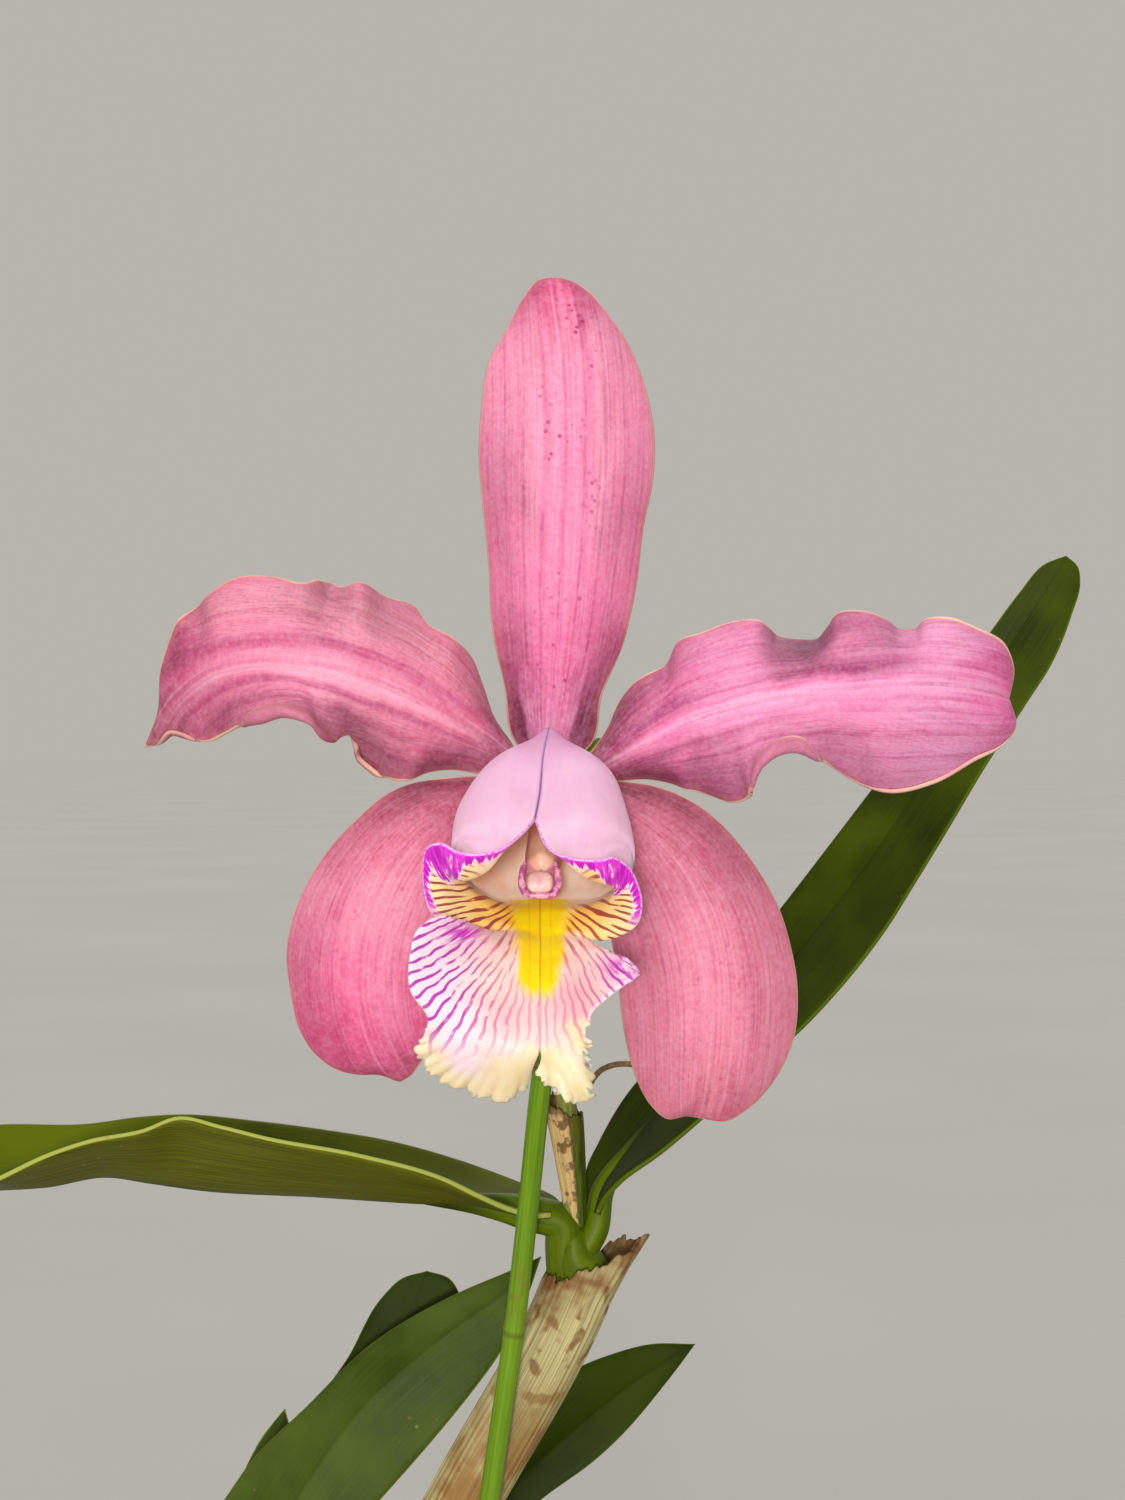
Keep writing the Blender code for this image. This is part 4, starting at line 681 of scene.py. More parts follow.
# The lip's rows, from its rear rim (station 0) to the cleft of its midlobe (station 26). A row runs
# from the midrib out to the edge: floor, side, upper, crease and edge.
LIP_REACHES = (0.22, 0.46, 0.68, 0.86, 1.0)
LIP_END = 26.0
LIP_MIDRIB = [
    (0.0, 549, 815, 4.5), (1.0, 548, 845, 1.5), (2.0, 546, 878, -2.5), (3.0, 544, 893, -5.0),
    (6.0, 543, 903, -7.0), (9.0, 543, 911, -9.0), (12.0, 542, 924, -11.0),
    (14.0, 542, 938, -13.5), (16.0, 541, 955, -17.5), (18.2, 541, 983, -22.0),
    (20.6, 541, 1017, -26.2), (23.0, 541, 1041, -28.2), (26.0, 540, 1051, -28.7),
]
LIP_LEFT = [
    (0.0, (535, 808, 3.8), (521, 785, 2.4), (524, 757, 1.2), (536, 738, -0.2), (546.5, 728, -1.0)),
    (1.0, (520, 842, 1.2), (484, 802, -3.0), (490, 765, -6.0), (515, 752, -8.5), (540.5, 759, -9.5)),
    (2.0, (505, 880, -3.0), (462, 837, -8.0), (466, 798, -12.0), (500, 787, -15.5), (537.5, 793, -17)),
    (3.0, (495, 898, -6.5), (458, 862, -13.0), (459, 828, -17.0), (493, 815, -21.0), (532.5, 820, -23)),
    (4.5, (495, 900, -7.5), (457, 868, -13.5), (464, 840, -18.5), (497, 846, -23.5), (514, 841, -26.5)),
    (6.0, (495, 902, -8.0), (458, 873, -14.0), (470, 852, -19.0), (487, 869, -25.0), (491, 852, -28.5)),
    (7.5, (503, 905, -9.0), (467, 888, -15.0), (459, 869, -20.0), (463, 878, -25.0), (462, 853, -28.5)),
    (9.0, (508, 908, -10.0), (475, 896, -15.0), (456, 884, -20.0), (445, 869, -24.5), (438, 843, -27)),
    (10.0, (510, 911, -10.5), (477, 902, -15), (455, 893, -19.0), (439, 877, -23.0), (425, 851, -25)),
    (11.0, (513, 915, -11.0), (481, 910, -14.5), (458, 906, -18), (440, 899, -21.0), (423, 885, -22.5)),
    (12.0, (516, 920, -11.5), (487, 917, -14.0), (465, 917, -17), (449, 917, -19.0), (433, 915, -20.5)),
    (13.0, (522, 926, -12.0), (502, 924, -13.5), (487, 925, -15), (475, 928, -16.0), (465, 929, -16.5)),
    (14.0, (527, 934, -13.0), (514, 932, -13.5), (504, 932, -14), (496, 934, -14.3), (489, 936, -14.5)),
    (15.0, (523, 941, -16.0), (505, 939, -17.0), (491, 935, -18.5), (478, 929, -20), (465, 923, -21)),
    (16.0, (520, 950, -18.0), (497, 945, -19.5), (476, 936, -21.5), (457, 926, -23.5), (440, 916, -25)),
    (17.0, (516, 961, -20.0), (490, 955, -21.5), (464, 945, -23.5), (440, 936, -26), (419, 928, -27.5)),
    (18.2, (515, 978, -22.3), (488, 972, -23.5), (460, 965, -25.5), (433, 960, -27.5), (410, 955, -29)),
    (19.4, (516, 998, -24.5), (489, 995, -25.5), (461, 992, -27), (434, 990, -28.5), (410, 990, -29.5)),
    (20.6, (518, 1015, -26.5), (494, 1013, -27.2), (470, 1012, -28), (447, 1014, -28.5),
     (428, 1020, -28.5)),
    (21.8, (518, 1030, -27.8), (495, 1031, -28.3), (470, 1035, -28.5), (444, 1042, -28), (419, 1052, -27)),
    (23.0, (521, 1041, -28.4), (501, 1044, -28.6), (480, 1051, -28.3), (460, 1063, -27), (440, 1078, -25)),
    (24.2, (527, 1048, -28.6), (514, 1052, -28.6), (500, 1060, -28), (487, 1073, -26.5), (474, 1092, -24)),
    (25.2, (533, 1052, -28.6), (526, 1058, -28.5), (518, 1068, -27.8), (511, 1082, -26.3),
     (505, 1100, -24)),
    (26.0, (538.5, 1055, -28.6), (536, 1060, -28.3), (533, 1067, -27.6), (530, 1075, -26.5),
     (527, 1084, -25)),
]
LIP_RIGHT = [
    (0.0, (563, 808, 3.8), (577, 785, 2.4), (574, 757, 1.2), (562, 738, -0.2), (551.5, 728, -1.0)),
    (1.0, (578, 842, 1.2), (611, 803, -3.0), (605, 767, -6.0), (575, 752, -8.5), (545.5, 759, -9.5)),
    (2.0, (592, 880, -3.0), (624, 842, -8.0), (619, 799, -12.0), (583, 787, -15.5), (542.5, 793, -17)),
    (3.0, (596, 898, -6.5), (628, 867, -13.0), (627, 831, -17), (590, 815, -21.0), (537.5, 820, -23)),
    (4.5, (597, 900, -7.5), (629, 874, -13.5), (622, 845, -18.5), (582, 850, -23.5), (546, 846, -27)),
    (6.0, (594, 903, -8.5), (627, 880, -14.5), (611, 860, -20), (581, 872, -25.5), (567, 857, -28.5)),
    (7.5, (588, 906, -9.5), (617, 893, -15.5), (620, 877, -20.5), (603, 881, -25.5), (598, 860, -28.5)),
    (9.0, (582, 909, -10.5), (604, 901, -15.5), (615, 894, -20.5), (616, 881, -25), (616, 858, -27.5)),
    (10.0, (578, 912, -10.8), (600, 906, -15), (612, 901, -19.5), (624, 889, -23.5), (632, 871, -25.5)),
    (11.0, (574, 917, -11.2), (597, 914, -15), (612, 911, -18.5), (628, 907, -21.5), (642, 899, -23)),
    (12.0, (571, 922, -11.8), (592, 921, -14.5), (608, 922, -17.5), (623, 924, -19.5), (637, 925, -20.5)),
    (13.0, (566, 929, -12.5), (584, 929, -14.2), (595, 931, -16), (603, 935, -17), (612, 939, -17.5)),
    (14.0, (558, 937, -13.4), (570, 936, -14), (578, 937, -14.6), (584, 939, -15), (590, 941, -15.5)),
    (15.0, (558, 946, -15.8), (574, 946, -16.8), (586, 947, -18), (595, 948, -19), (603, 949, -20)),
    (16.0, (561, 956, -18), (580, 956, -19.3), (597, 956, -21.2), (612, 957, -23), (628, 960, -24.5)),
    (17.0, (563, 967, -20.2), (583, 966, -21.5), (602, 966, -23.5), (621, 968, -25.5), (640, 973, -27)),
    (18.2, (560, 982, -22.4), (578, 981, -23.6), (595, 980, -25.3), (611, 981, -27), (627, 983, -28.5)),
    (19.4, (556, 1000, -24.6), (570, 999, -25.6), (583, 998, -27), (595, 998, -28.3), (606, 999, -29.5)),
    (20.6, (553, 1015, -26.5), (565, 1014, -27.1), (575, 1013, -28), (584, 1013, -29), (592, 1013, -30)),
    (21.8, (552, 1030, -27.8), (562, 1029, -28.3), (571, 1029, -28.9), (579, 1031, -29.5),
     (586, 1034, -30)),
    (23.0, (552, 1040, -28.5), (562, 1040, -29), (571, 1042, -29.4), (579, 1047, -29.6),
     (587, 1055, -29.5)),
    (24.2, (551, 1047, -28.9), (561, 1050, -29.4), (571, 1056, -29.8), (581, 1066, -29.8),
     (591, 1080, -29)),
    (25.2, (546.5, 1053, -29), (553, 1059, -29.5), (561, 1069, -30), (570, 1084, -30.2),
     (578, 1103, -29.5)),
    (26.0, (541, 1055, -29), (541, 1059, -29.5), (540, 1063, -30.2), (538, 1068, -30.8),
     (535, 1073, -31.2)),
]

# Stems, as front-view points from the ground up
STAKE_ROUTE = [
    (490, 1498, 30.0), (517, 1307, 27.5), (529, 1200, 25.5), (541, 1085, 21.0), (564, 930, 15.5),
    (585, 810, 11.4), (599, 738, 9.6),
]
STEM_ROUTE = [
    (574, 1214, 38.2), (571, 1160, 36.8), (566, 1105, 34.4), (559, 1040, 30.2), (553, 960, 24.2),
    (550, 880, 17.4), (549, 826, 13.4), (549.5, 798, 11.4), (550, 787, 10.0), (550, 785, 6.3),
]
STEM_RADII = [1.9, 1.7, 1.7, 1.7, 1.8, 2.2, 2.6, 2.7, 4.6, 4.6]
SPATHE_ROUTE = [(574, 1213, 38.2), (570, 1160, 36.8), (565, 1120, 35.2), (560, 1092, 33.8)]
COLUMN_ROUTE = [
    (550, 786, 5.6), (550, 786, 3.6), (549, 799, 1.2), (546, 836, -3.6), (543, 862, -9.6),
     (541, 874, -13.0),
]
COLUMN_RADII = [2.4, 2.5, 2.9, 3.0, 2.7]
COLLAR_ROUTE = [
    (525, 862, -12.6), (522.5, 872, -13.4), (522.5, 886, -13.9), (526, 893.5, -14.1), (540, 895.5, -14.2),
    (554, 893.5, -14.1), (557.5, 886, -13.9), (557.5, 872, -13.4), (555, 862, -12.6),
]
COLLAR_RADIUS = 0.00055
ANTHER_AT = (540, 882, -14.5)
ANTHER_SIZE = (0.0018, 0.0012, 0.0016)
TIE_ROUND = [(542.7, 1070, 20.4), (562.2, 1070, 32.1)]
TIE_PITCH = 0.0016
TIE_TAIL = [
    (584, 1078, 29.0), (588, 1088, 25.5), (593, 1079, 22.5), (603, 1069, 20.0), (619, 1064, 18.0),
    (640, 1066, 16.5), (656, 1073, 15.5), (668, 1082, 15.0),
]

# Canes: places in metres, with a radius in millimetres at each, and their sheaths' first share,
# last share and pointed flap past the end
PSEUDOBULBS = [
    (
        "pseudobulb_flowering",
        [(-0.0228, 0.0040, 0.0878), (-0.0216, 0.0040, 0.0901), (-0.0150, 0.0038, 0.1025),
         (0.0084, 0.0030, 0.1450), seen((576, 1290, 38.8)), seen((583, 1272, 38.6)),
         seen((573, 1254, 38.4)), seen((570, 1240, 38.3)), seen((571, 1225, 38.2))],
        [1.8, 4.0, 4.4, 4.9, 4.9, 4.6, 3.5, 3.9, 5.0],
        (0.06, 0.905, 0.175),
    ),
    (
        "pseudobulb_left",
        [(-0.0350, 0.0120, 0.0870), (-0.0350, 0.0120, 0.0890), (-0.0352, 0.0119, 0.1010),
         (-0.0354, 0.0118, 0.1144)],
        [2.0, 4.2, 4.9, 4.6],
        (0.10, 0.80, 0.12),
    ),
    (
        "pseudobulb_right",
        [(-0.0060, 0.0220, 0.0871), (-0.0058, 0.0219, 0.0890), (-0.0043, 0.0212, 0.1030),
         (-0.0026, 0.0205, 0.1178)],
        [2.0, 4.2, 4.9, 4.4],
        (0.10, 0.80, 0.12),
    ),
    (
        "pseudobulb_small",
        [(-0.0300, 0.0320, 0.0870), (-0.0300, 0.0320, 0.0888), (-0.0302, 0.0324, 0.0990),
         (-0.0304, 0.0328, 0.1098)],
        [2.0, 3.8, 4.3, 3.8],
        (0.10, 0.80, 0.12),
    ),
]
SHEATH_FLAP_SHOWN = 0.70
NECK_TOP = (566, 1242, 38.5)
OLD_BULB_TOP = 3.1
OLD_PETIOLE_RADII = [3.0, 2.9, 2.2, 1.4, 0.6]
NECK_ROUTES = {
    "leaf_left": ([(565, 1274, 38.8), (563, 1246, 38.4), (562.5, 1226, 38.2)], [3.0, 2.9, 3.0, 2.9, 1.8, 0.6]),
    "leaf_right": ([(578, 1268, 38.8), (586, 1248, 38.6), (595, 1230, 38.8)], [2.4, 2.2, 2.2, 1.9, 1.2, 0.5]),
}
LEAF_HOLLOW = 0.95
LEAF_SPREAD = 1.15
LEAVES = [
    ("leaf_right", LEAF_RIGHT_UPPER, LEAF_RIGHT_MIDRIB, LEAF_RIGHT_LOWER, 20),
    ("leaf_left", LEAF_LEFT_NEAR, LEAF_LEFT_MIDRIB, LEAF_LEFT_FAR, 20),
    ("leaf_low_left", LOW_LEFT_UPPER, LOW_LEFT_MIDRIB, LOW_LEFT_LOWER, 16),
    ("leaf_low_behind", LOW_BEHIND_UPPER, LOW_BEHIND_MIDRIB, LOW_BEHIND_LOWER, 14),
    ("leaf_small", SMALL_LEFT, SMALL_MIDRIB, SMALL_RIGHT, 10),
    ("leaf_low_right", LOW_RIGHT_UPPER, LOW_RIGHT_MIDRIB, LOW_RIGHT_LOWER, 14),
]

# Rootstock and roots, in millimetres, at the height where they lie in the bark
RHIZOME_ROUTES = [
    [(10, 17, 82.6), (-6, 22, 83), (-19, 27, 83), (-30, 32, 83), (-36, 33, 82.4)],
    [(-19, 27, 83), (-30, 21, 83), (-35, 12, 83), (-30.5, 6, 83), (-22.8, 4, 83), (-12, 2.5, 82.4)],
]
ROOT_ROUTES = [
    [(-22, 4, 82), (-19, -9, 84), (-13, -22, 83), (-9, -33, 70)],
    [(-12, 2.5, 82), (-6, -11, 84), (6, -24, 82.5), (14, -33, 70)],
    [(-6, 22, 82), (8, 29, 84), (22, 32, 82.5), (32, 33, 70)],
    [(9, 17, 82), (24, 14, 84.5), (36, 8, 82), (44, 4, 70)],
    [(-35, 12, 82), (-42, 1, 84), (-43, -10, 82.5), (-42, -17, 70)],
    [(-31, 32, 82), (-27, 40, 83), (-20, 43, 82), (-14, 43, 70)],
    [(-31, 6, 82), (-35, -8, 84), (-31, -22, 83), (-27, -32, 70)],
    [(9, 17, 82), (16, 4, 84), (27, -8, 83), (35, -16, 70)],
]


# ---- sepals and petals


def tepal(name, tones, edge_mauve_and_shade, bands=(), veins=9.0, flecks=0.0, oblique=0.0, cream=(236, 186, 164), lines=0.34):
    """Petal and sepal tissue.

    tones are the colours along its middle, darker at the base and at a curled tip partly as painted shade; the edge
    table gives the depth of a dark mauve along its two edges, partly the tissue's own mauve and partly painted shade
    where the edges curve back; bands run beside the midrib, and lines of veins and a pale margin lie over them.
    """
    p = Paint(name, 0.5, 0.18, Subsurface_Weight=0.15, Subsurface_Scale=0.001)
    p.shader.inputs["Subsurface Radius"].default_value = (1.0, 0.4, 0.5)
    s, t, vein, margin, side = (p.read(key) for key in ("s", "t", "vein", "margin", "side"))
    place = p.place()
    off = p.math("ABSOLUTE", vein)
    drift = p.noise(p.vector(p.times(vein, 3.0), p.times(s, 7.0), 2.0), 1.0, 3.0)
    lean = p.band(drift, 0.3, 0.7, -0.16, 0.16)
    # Colours along the middle: the darker stretches at the base and at a curled tip are partly painted shade.
    colour = p.ramp(p.add(s, p.times(lean, 0.25)), *[(position, rgb(*tone)) for position, tone in tones])
    upper = p.band(vein, -0.05, 0.05)
    low, high = (p.curve(s, *flank) for flank in edge_mauve_and_shade)
    dark = p.add(p.times(low, p.band(upper, 0.0, 1.0, 1.0, 0.0)), p.times(high, upper))
    for centre, width, start, end, tone, strength in bands:
        here = p.hump(p.add(vein, p.times(lean, 0.18)), centre, width)
        fade = p.times(p.band(s, start - 0.1, start + 0.1), p.band(s, end + 0.12, end - 0.12))
        colour = p.mix(p.times(here, fade, strength), colour, rgb(*tone))
    streak = p.noise(p.vector(p.times(vein, 34.0), p.times(s, 4.0), 1.7), 1.0, 3.0)
    colour = p.mix(p.band(streak, 0.45, 0.75, 0.0, 0.42), colour, p.mix(1.0, colour, rgb(214, 134, 176), "MULTIPLY"))
    colour = p.mix(p.band(streak, 0.50, 0.25, 0.0, 0.22), colour, rgb(255, 205, 222))
    warp = p.times(p.noise(p.vector(p.times(vein, 2.0), p.times(s, 5.0), 5.0), 1.0, 1.0), 1.1)
    wave = p.math("COSINE", p.add(p.times(vein, veins * math.pi), warp))
    broken = p.band(p.noise(p.vector(p.times(vein, 9.0), p.times(s, 12.0), 9.0), 1.0, 2.0), 0.35, 0.65, 0.3, 1.0)
    line = p.times(p.band(wave, 0.80, 1.0), broken, p.band(off, 1.0, 0.6, 0.3, 1.0))
    colour = p.mix(p.times(line, lines), colour, rgb(186, 64, 124))
    relief = line
    if oblique:
        slant = p.noise(p.vector(p.add(p.times(s, 42.0), p.times(off, -30.0)), p.times(off, 4.0), vein), 1.0, 2.0)
        ridge = p.times(p.hump(slant, 0.5, 0.05), p.band(off, 0.12, 0.4), oblique)
        colour = p.mix(p.times(ridge, 0.26), colour, rgb(178, 76, 118))
        relief = p.add(relief, p.times(ridge, 0.7))
    if flecks:
        few = p.band(p.noise(place, 130.0, 1.0), 0.48, 0.62)
        dot = p.times(p.band(p.cells(place, 700.0), 0.30, 0.16), few, p.band(off, 0.55, 0.15), flecks)
        colour = p.mix(dot, colour, rgb(176, 34, 112))
    mottle = p.noise(place, 420.0, 3.0)
    colour = p.mix(p.band(mottle, 0.35, 0.7, 0.0, 0.16), colour, rgb(255, 196, 212))
    fine = p.noise(place, 1500.0, 2.0)
    colour = p.mix(p.band(fine, 0.45, 0.7, 0.0, 0.15), colour, rgb(255, 200, 218))
    colour = p.mix(p.band(fine, 0.5, 0.3, 0.0, 0.20), colour, p.mix(1.0, colour, rgb(214, 160, 190), "MULTIPLY"))
    outer = p.band(p.add(p.math("ABSOLUTE", t), lean), 0.16, 0.80)
    # Dark mauve towards both edges, deepest at the base: partly the tissue's own mauve and partly painted shade where
    # the edges curve back and the base lies among the other parts.
    colour = p.mix(p.times(dark, outer, p.band(fine, 0.3, 0.7, 1.0, 0.86)), colour, rgb(92, 14, 46))
    colour = p.mix(1.0, colour, rgb(241, 232, 240), "MULTIPLY")
    tan = p.times(p.band(margin, 2.2, 0.3, 0.0, 0.32), p.band(mottle, 0.3, 0.6, 0.3, 1.0))
    colour = p.mix(tan, colour, rgb(206, 122, 122))
    pale = p.times(p.band(margin, 0.50, 0.24), p.band(drift, 0.35, 0.6, 0.5, 0.95))
    colour = p.mix(pale, colour, rgb(*cream))
    colour = p.mix(side, p.mix(0.35, colour, rgb(214, 132, 152)), colour)
    normal = p.bump(p.noise(place, 2600.0, 2.0), 0.22, 0.00012)
    normal = p.bump(p.add(p.times(relief, -1.0), p.times(streak, 0.5)), 0.30, 0.0002, normal)
    return p.finish(colour, normal, p.band(mottle, 0.3, 0.7, 0.44, 0.58))


def ripples(seed, amount, length, grow=3.0):
    """Small waves of a blade's margin, to the back and front, in metres."""
    rng = random.Random(seed)
    waves = [(rng.uniform(0.7, 1.5) / length, rng.uniform(0, 6.28), rng.uniform(0.5, 1.0)) for _ in range(4)]

    def ripple(s, t):
        total = 0.0
        for often, phase, size in waves:
            total = total + size * np.sin(2 * math.pi * often * s + phase + (t < 0) * 2.1)
        return amount * total / 2.5 * np.abs(t) ** grow * window(s, 0.06, 1.0, 0.12)

    return ripple


def flower_blades():
    # The dorsal sepal's darker base and tip tones and its full edge depth at the base are partly painted shade: its
    # base folds back between the other parts and its tip curls back.
    dorsal = tepal(
        "dorsal sepal tissue",
        [(0.0, (204, 124, 162)), (0.10, (222, 134, 174)), (0.20, (230, 112, 156)), (0.38, (252, 140, 180)),
         (0.62, (254, 154, 188)), (0.82, (254, 160, 188)), (0.92, (240, 112, 156)), (1.0, (224, 92, 140))],
        [[(0.0, 1.0), (0.10, 0.95), (0.20, 0.62), (0.35, 0.24), (0.50, 0.42), (0.65, 0.26), (0.80, 0.05), (0.93, 0.36)],
         [(0.0, 1.0), (0.10, 0.95), (0.20, 0.66), (0.35, 0.20), (0.50, 0.36), (0.65, 0.20), (0.80, 0.22), (0.93, 0.30)]],
        [(0.0, 0.14, 0.22, 0.75, (246, 122, 172), 0.6), (0.38, 0.20, 0.45, 0.85, (255, 176, 198), 0.6),
         (-0.38, 0.20, 0.45, 0.85, (255, 172, 194), 0.55), (0.24, 0.10, 0.1, 0.9, (236, 118, 164), 0.5),
         (-0.20, 0.08, 0.1, 0.8, (236, 118, 164), 0.4)],
        veins=9.0, flecks=0.9, cream=(222, 166, 158), lines=0.42)
    # The lateral sepals' dark base tones and deep edges near the base are partly painted shade where they meet the
    # column and the other parts.
    left = tepal(
        "left sepal tissue",
        [(0.0, (176, 80, 100)), (0.2, (188, 88, 112)), (0.38, (230, 124, 148)), (0.52, (244, 148, 172)),
         (0.68, (246, 118, 160)), (0.84, (244, 102, 152)), (1.0, (200, 84, 116))],
        [[(0.0, 0.8), (0.2, 0.62), (0.36, 0.22), (0.5, 0.12), (0.66, 0.36), (0.82, 0.30), (0.93, 0.25), (1.0, 0.3)],
         [(0.0, 0.3), (0.3, 0.10), (0.6, 0.05), (1.0, 0.15)]],
        [(0.25, 0.3, 0.3, 0.8, (250, 162, 186), 0.5), (-0.35, 0.10, 0.4, 0.9, (216, 96, 140), 0.35)],
        veins=13.0, flecks=0.35, lines=0.22)
    right = tepal(
        "right sepal tissue",
        [(0.0, (166, 76, 96)), (0.2, (206, 112, 132)), (0.38, (212, 114, 136)), (0.52, (234, 138, 158)),
         (0.68, (244, 148, 168)), (0.84, (248, 150, 168)), (1.0, (224, 112, 136))],
        [[(0.0, 0.5), (0.4, 0.05), (0.65, 0.12), (1.0, 0.1)],
         [(0.0, 0.8), (0.2, 0.64), (0.36, 0.26), (0.5, 0.16), (0.65, 0.22), (0.82, 0.22), (1.0, 0.2)]],
        [(-0.3, 0.3, 0.4, 0.85, (250, 160, 180), 0.4), (0.40, 0.12, 0.3, 0.85, (214, 106, 136), 0.4)],
        veins=13.0, flecks=0.3, lines=0.22)
    for name, low, midrib, high, colour, front in (
        ("dorsal_sepal", DORSAL_LEFT, DORSAL_MIDRIB, DORSAL_RIGHT, dorsal, -1),
        ("lateral_sepal_left", LATERAL_LEFT_OUTER, LATERAL_LEFT_MIDRIB, LATERAL_LEFT_INNER, left, 1),
        ("lateral_sepal_right", LATERAL_RIGHT_INNER, LATERAL_RIGHT_MIDRIB, LATERAL_RIGHT_OUTER, right, 1),
    ):
        place = blade(low, midrib, high, ripple=ripples(len(name), 0.0003, 0.16, 6.0))
        sheet(f"{name}_skin", place, 130, 64, 0.0008, 0.0003, colour, [name], front)

    # The left petal's dark tones at the base and towards the tip are painted shade where it meets the column and where
    # its tip curls back; its deep edges are partly its own mauve and partly painted shade in the folds of its margins.
    left = tepal(
        "left petal tissue",
        [(0.0, (140, 66, 88)), (0.09, (176, 92, 114)), (0.20, (230, 126, 154)), (0.36, (248, 154, 178)),
         (0.52, (250, 160, 184)), (0.66, (246, 142, 172)), (0.80, (216, 104, 140)), (0.92, (166, 84, 104)),
         (1.0, (146, 78, 90))],
        [[(0.0, 0.3), (0.12, 0.05), (0.22, 0.06), (0.36, 0.26), (0.5, 0.34), (0.62, 0.0), (0.80, 0.42), (0.93, 0.1)],
         [(0.0, 0.3), (0.10, 0.34), (0.2, 0.66), (0.36, 0.56), (0.5, 0.48), (0.66, 0.32), (0.8, 0.40), (0.93, 0.1)]],
        [(-0.22, 0.15, 0.12, 0.95, (212, 94, 138), 0.85), (0.07, 0.12, 0.16, 0.80, (255, 176, 196), 0.9),
         (0.22, 0.08, 0.12, 0.9, (200, 84, 128), 0.75), (-0.62, 0.30, 0.2, 0.72, (240, 168, 174), 0.7),
         (0.45, 0.08, 0.2, 0.8, (196, 96, 126), 0.5)],
        veins=8.0, oblique=1.0, cream=(238, 196, 158))
    place = blade(
        PETAL_LEFT_UPPER, PETAL_LEFT_MIDRIB, PETAL_LEFT_LOWER, hollow=2.4, ripple=ripples(3, 0.0008, 0.13),
        curls=[(1, 0.44, 0.74, 0.0006, 0.0016), (1, 0.27, 0.41, 0.0005, 0.0005), (1, 0.86, 0.99, 0.0004, 0.0002)])
    sheet("petal_left_skin", place, 190, 84, 0.0008, 0.0004, left, ["petal_left"], 1)

    # The right petal's dark base tones are painted shade where it meets the column, and the deep upper edge near its
    # middle is painted shade in the notch of its upper margin.
    right = tepal(
        "right petal tissue",
        [(0.0, (130, 56, 84)), (0.09, (166, 84, 108)), (0.20, (240, 130, 176)), (0.36, (254, 162, 202)),
         (0.58, (254, 154, 196)), (0.80, (255, 178, 216)), (0.92, (250, 128, 186)), (1.0, (226, 110, 164))],
        [[(0.0, 0.6), (0.2, 0.75), (0.36, 0.42), (0.5, 0.32), (0.65, 0.42), (0.8, 0.12), (0.94, 0.25)],
         [(0.0, 0.6), (0.2, 0.36), (0.36, 0.08), (0.5, 0.85), (0.66, 0.34), (0.8, 0.08), (0.94, 0.30)]],
        [(0.26, 0.17, 0.08, 0.30, (172, 60, 116), 0.9), (0.22, 0.16, 0.42, 0.72, (172, 60, 116), 0.95),
         (-0.30, 0.14, 0.05, 0.40, (176, 70, 116), 0.7), (0.0, 0.10, 0.1, 0.95, (255, 184, 216), 0.8),
         (0.10, 0.04, 0.2, 0.8, (226, 106, 160), 0.6), (-0.14, 0.04, 0.2, 0.9, (230, 116, 168), 0.5),
         (-0.5, 0.25, 0.45, 0.9, (252, 164, 200), 0.4), (-0.46, 0.06, 0.3, 0.9, (222, 104, 152), 0.5)],
        veins=9.0, oblique=0.8, cream=(246, 208, 176))
    place = blade(
        PETAL_RIGHT_LOWER, PETAL_RIGHT_MIDRIB, PETAL_RIGHT_UPPER, hollow=2.4, ripple=ripples(8, 0.0008, 0.13),
        curls=[(-1, 0.36, 0.56, 0.0006, 0.0014), (-1, 0.60, 0.97, 0.0003, 0.0001)])
    sheet("petal_right_skin", place, 190, 84, 0.0008, 0.0004, right, ["petal_right"], 1)


# ---- lip and column


THROAT_PX = (540.0, 902.0)
SEAM_CLOSING = 0.00042
TOOTH = 1.05
SCALLOP = 3.6


def front_view(places):
    """The front-view (u, v) of places."""
    scale = PIXEL * (1.0 + (places[..., 1] - FLOWER_Y) / VIEW_DISTANCE)
    u = VIEW_CENTRE_PX[0] + (places[..., 0] - EYE_X) / scale
    v = VIEW_CENTRE_PX[1] - (places[..., 2] - EYE_Z) / scale
    return u, v


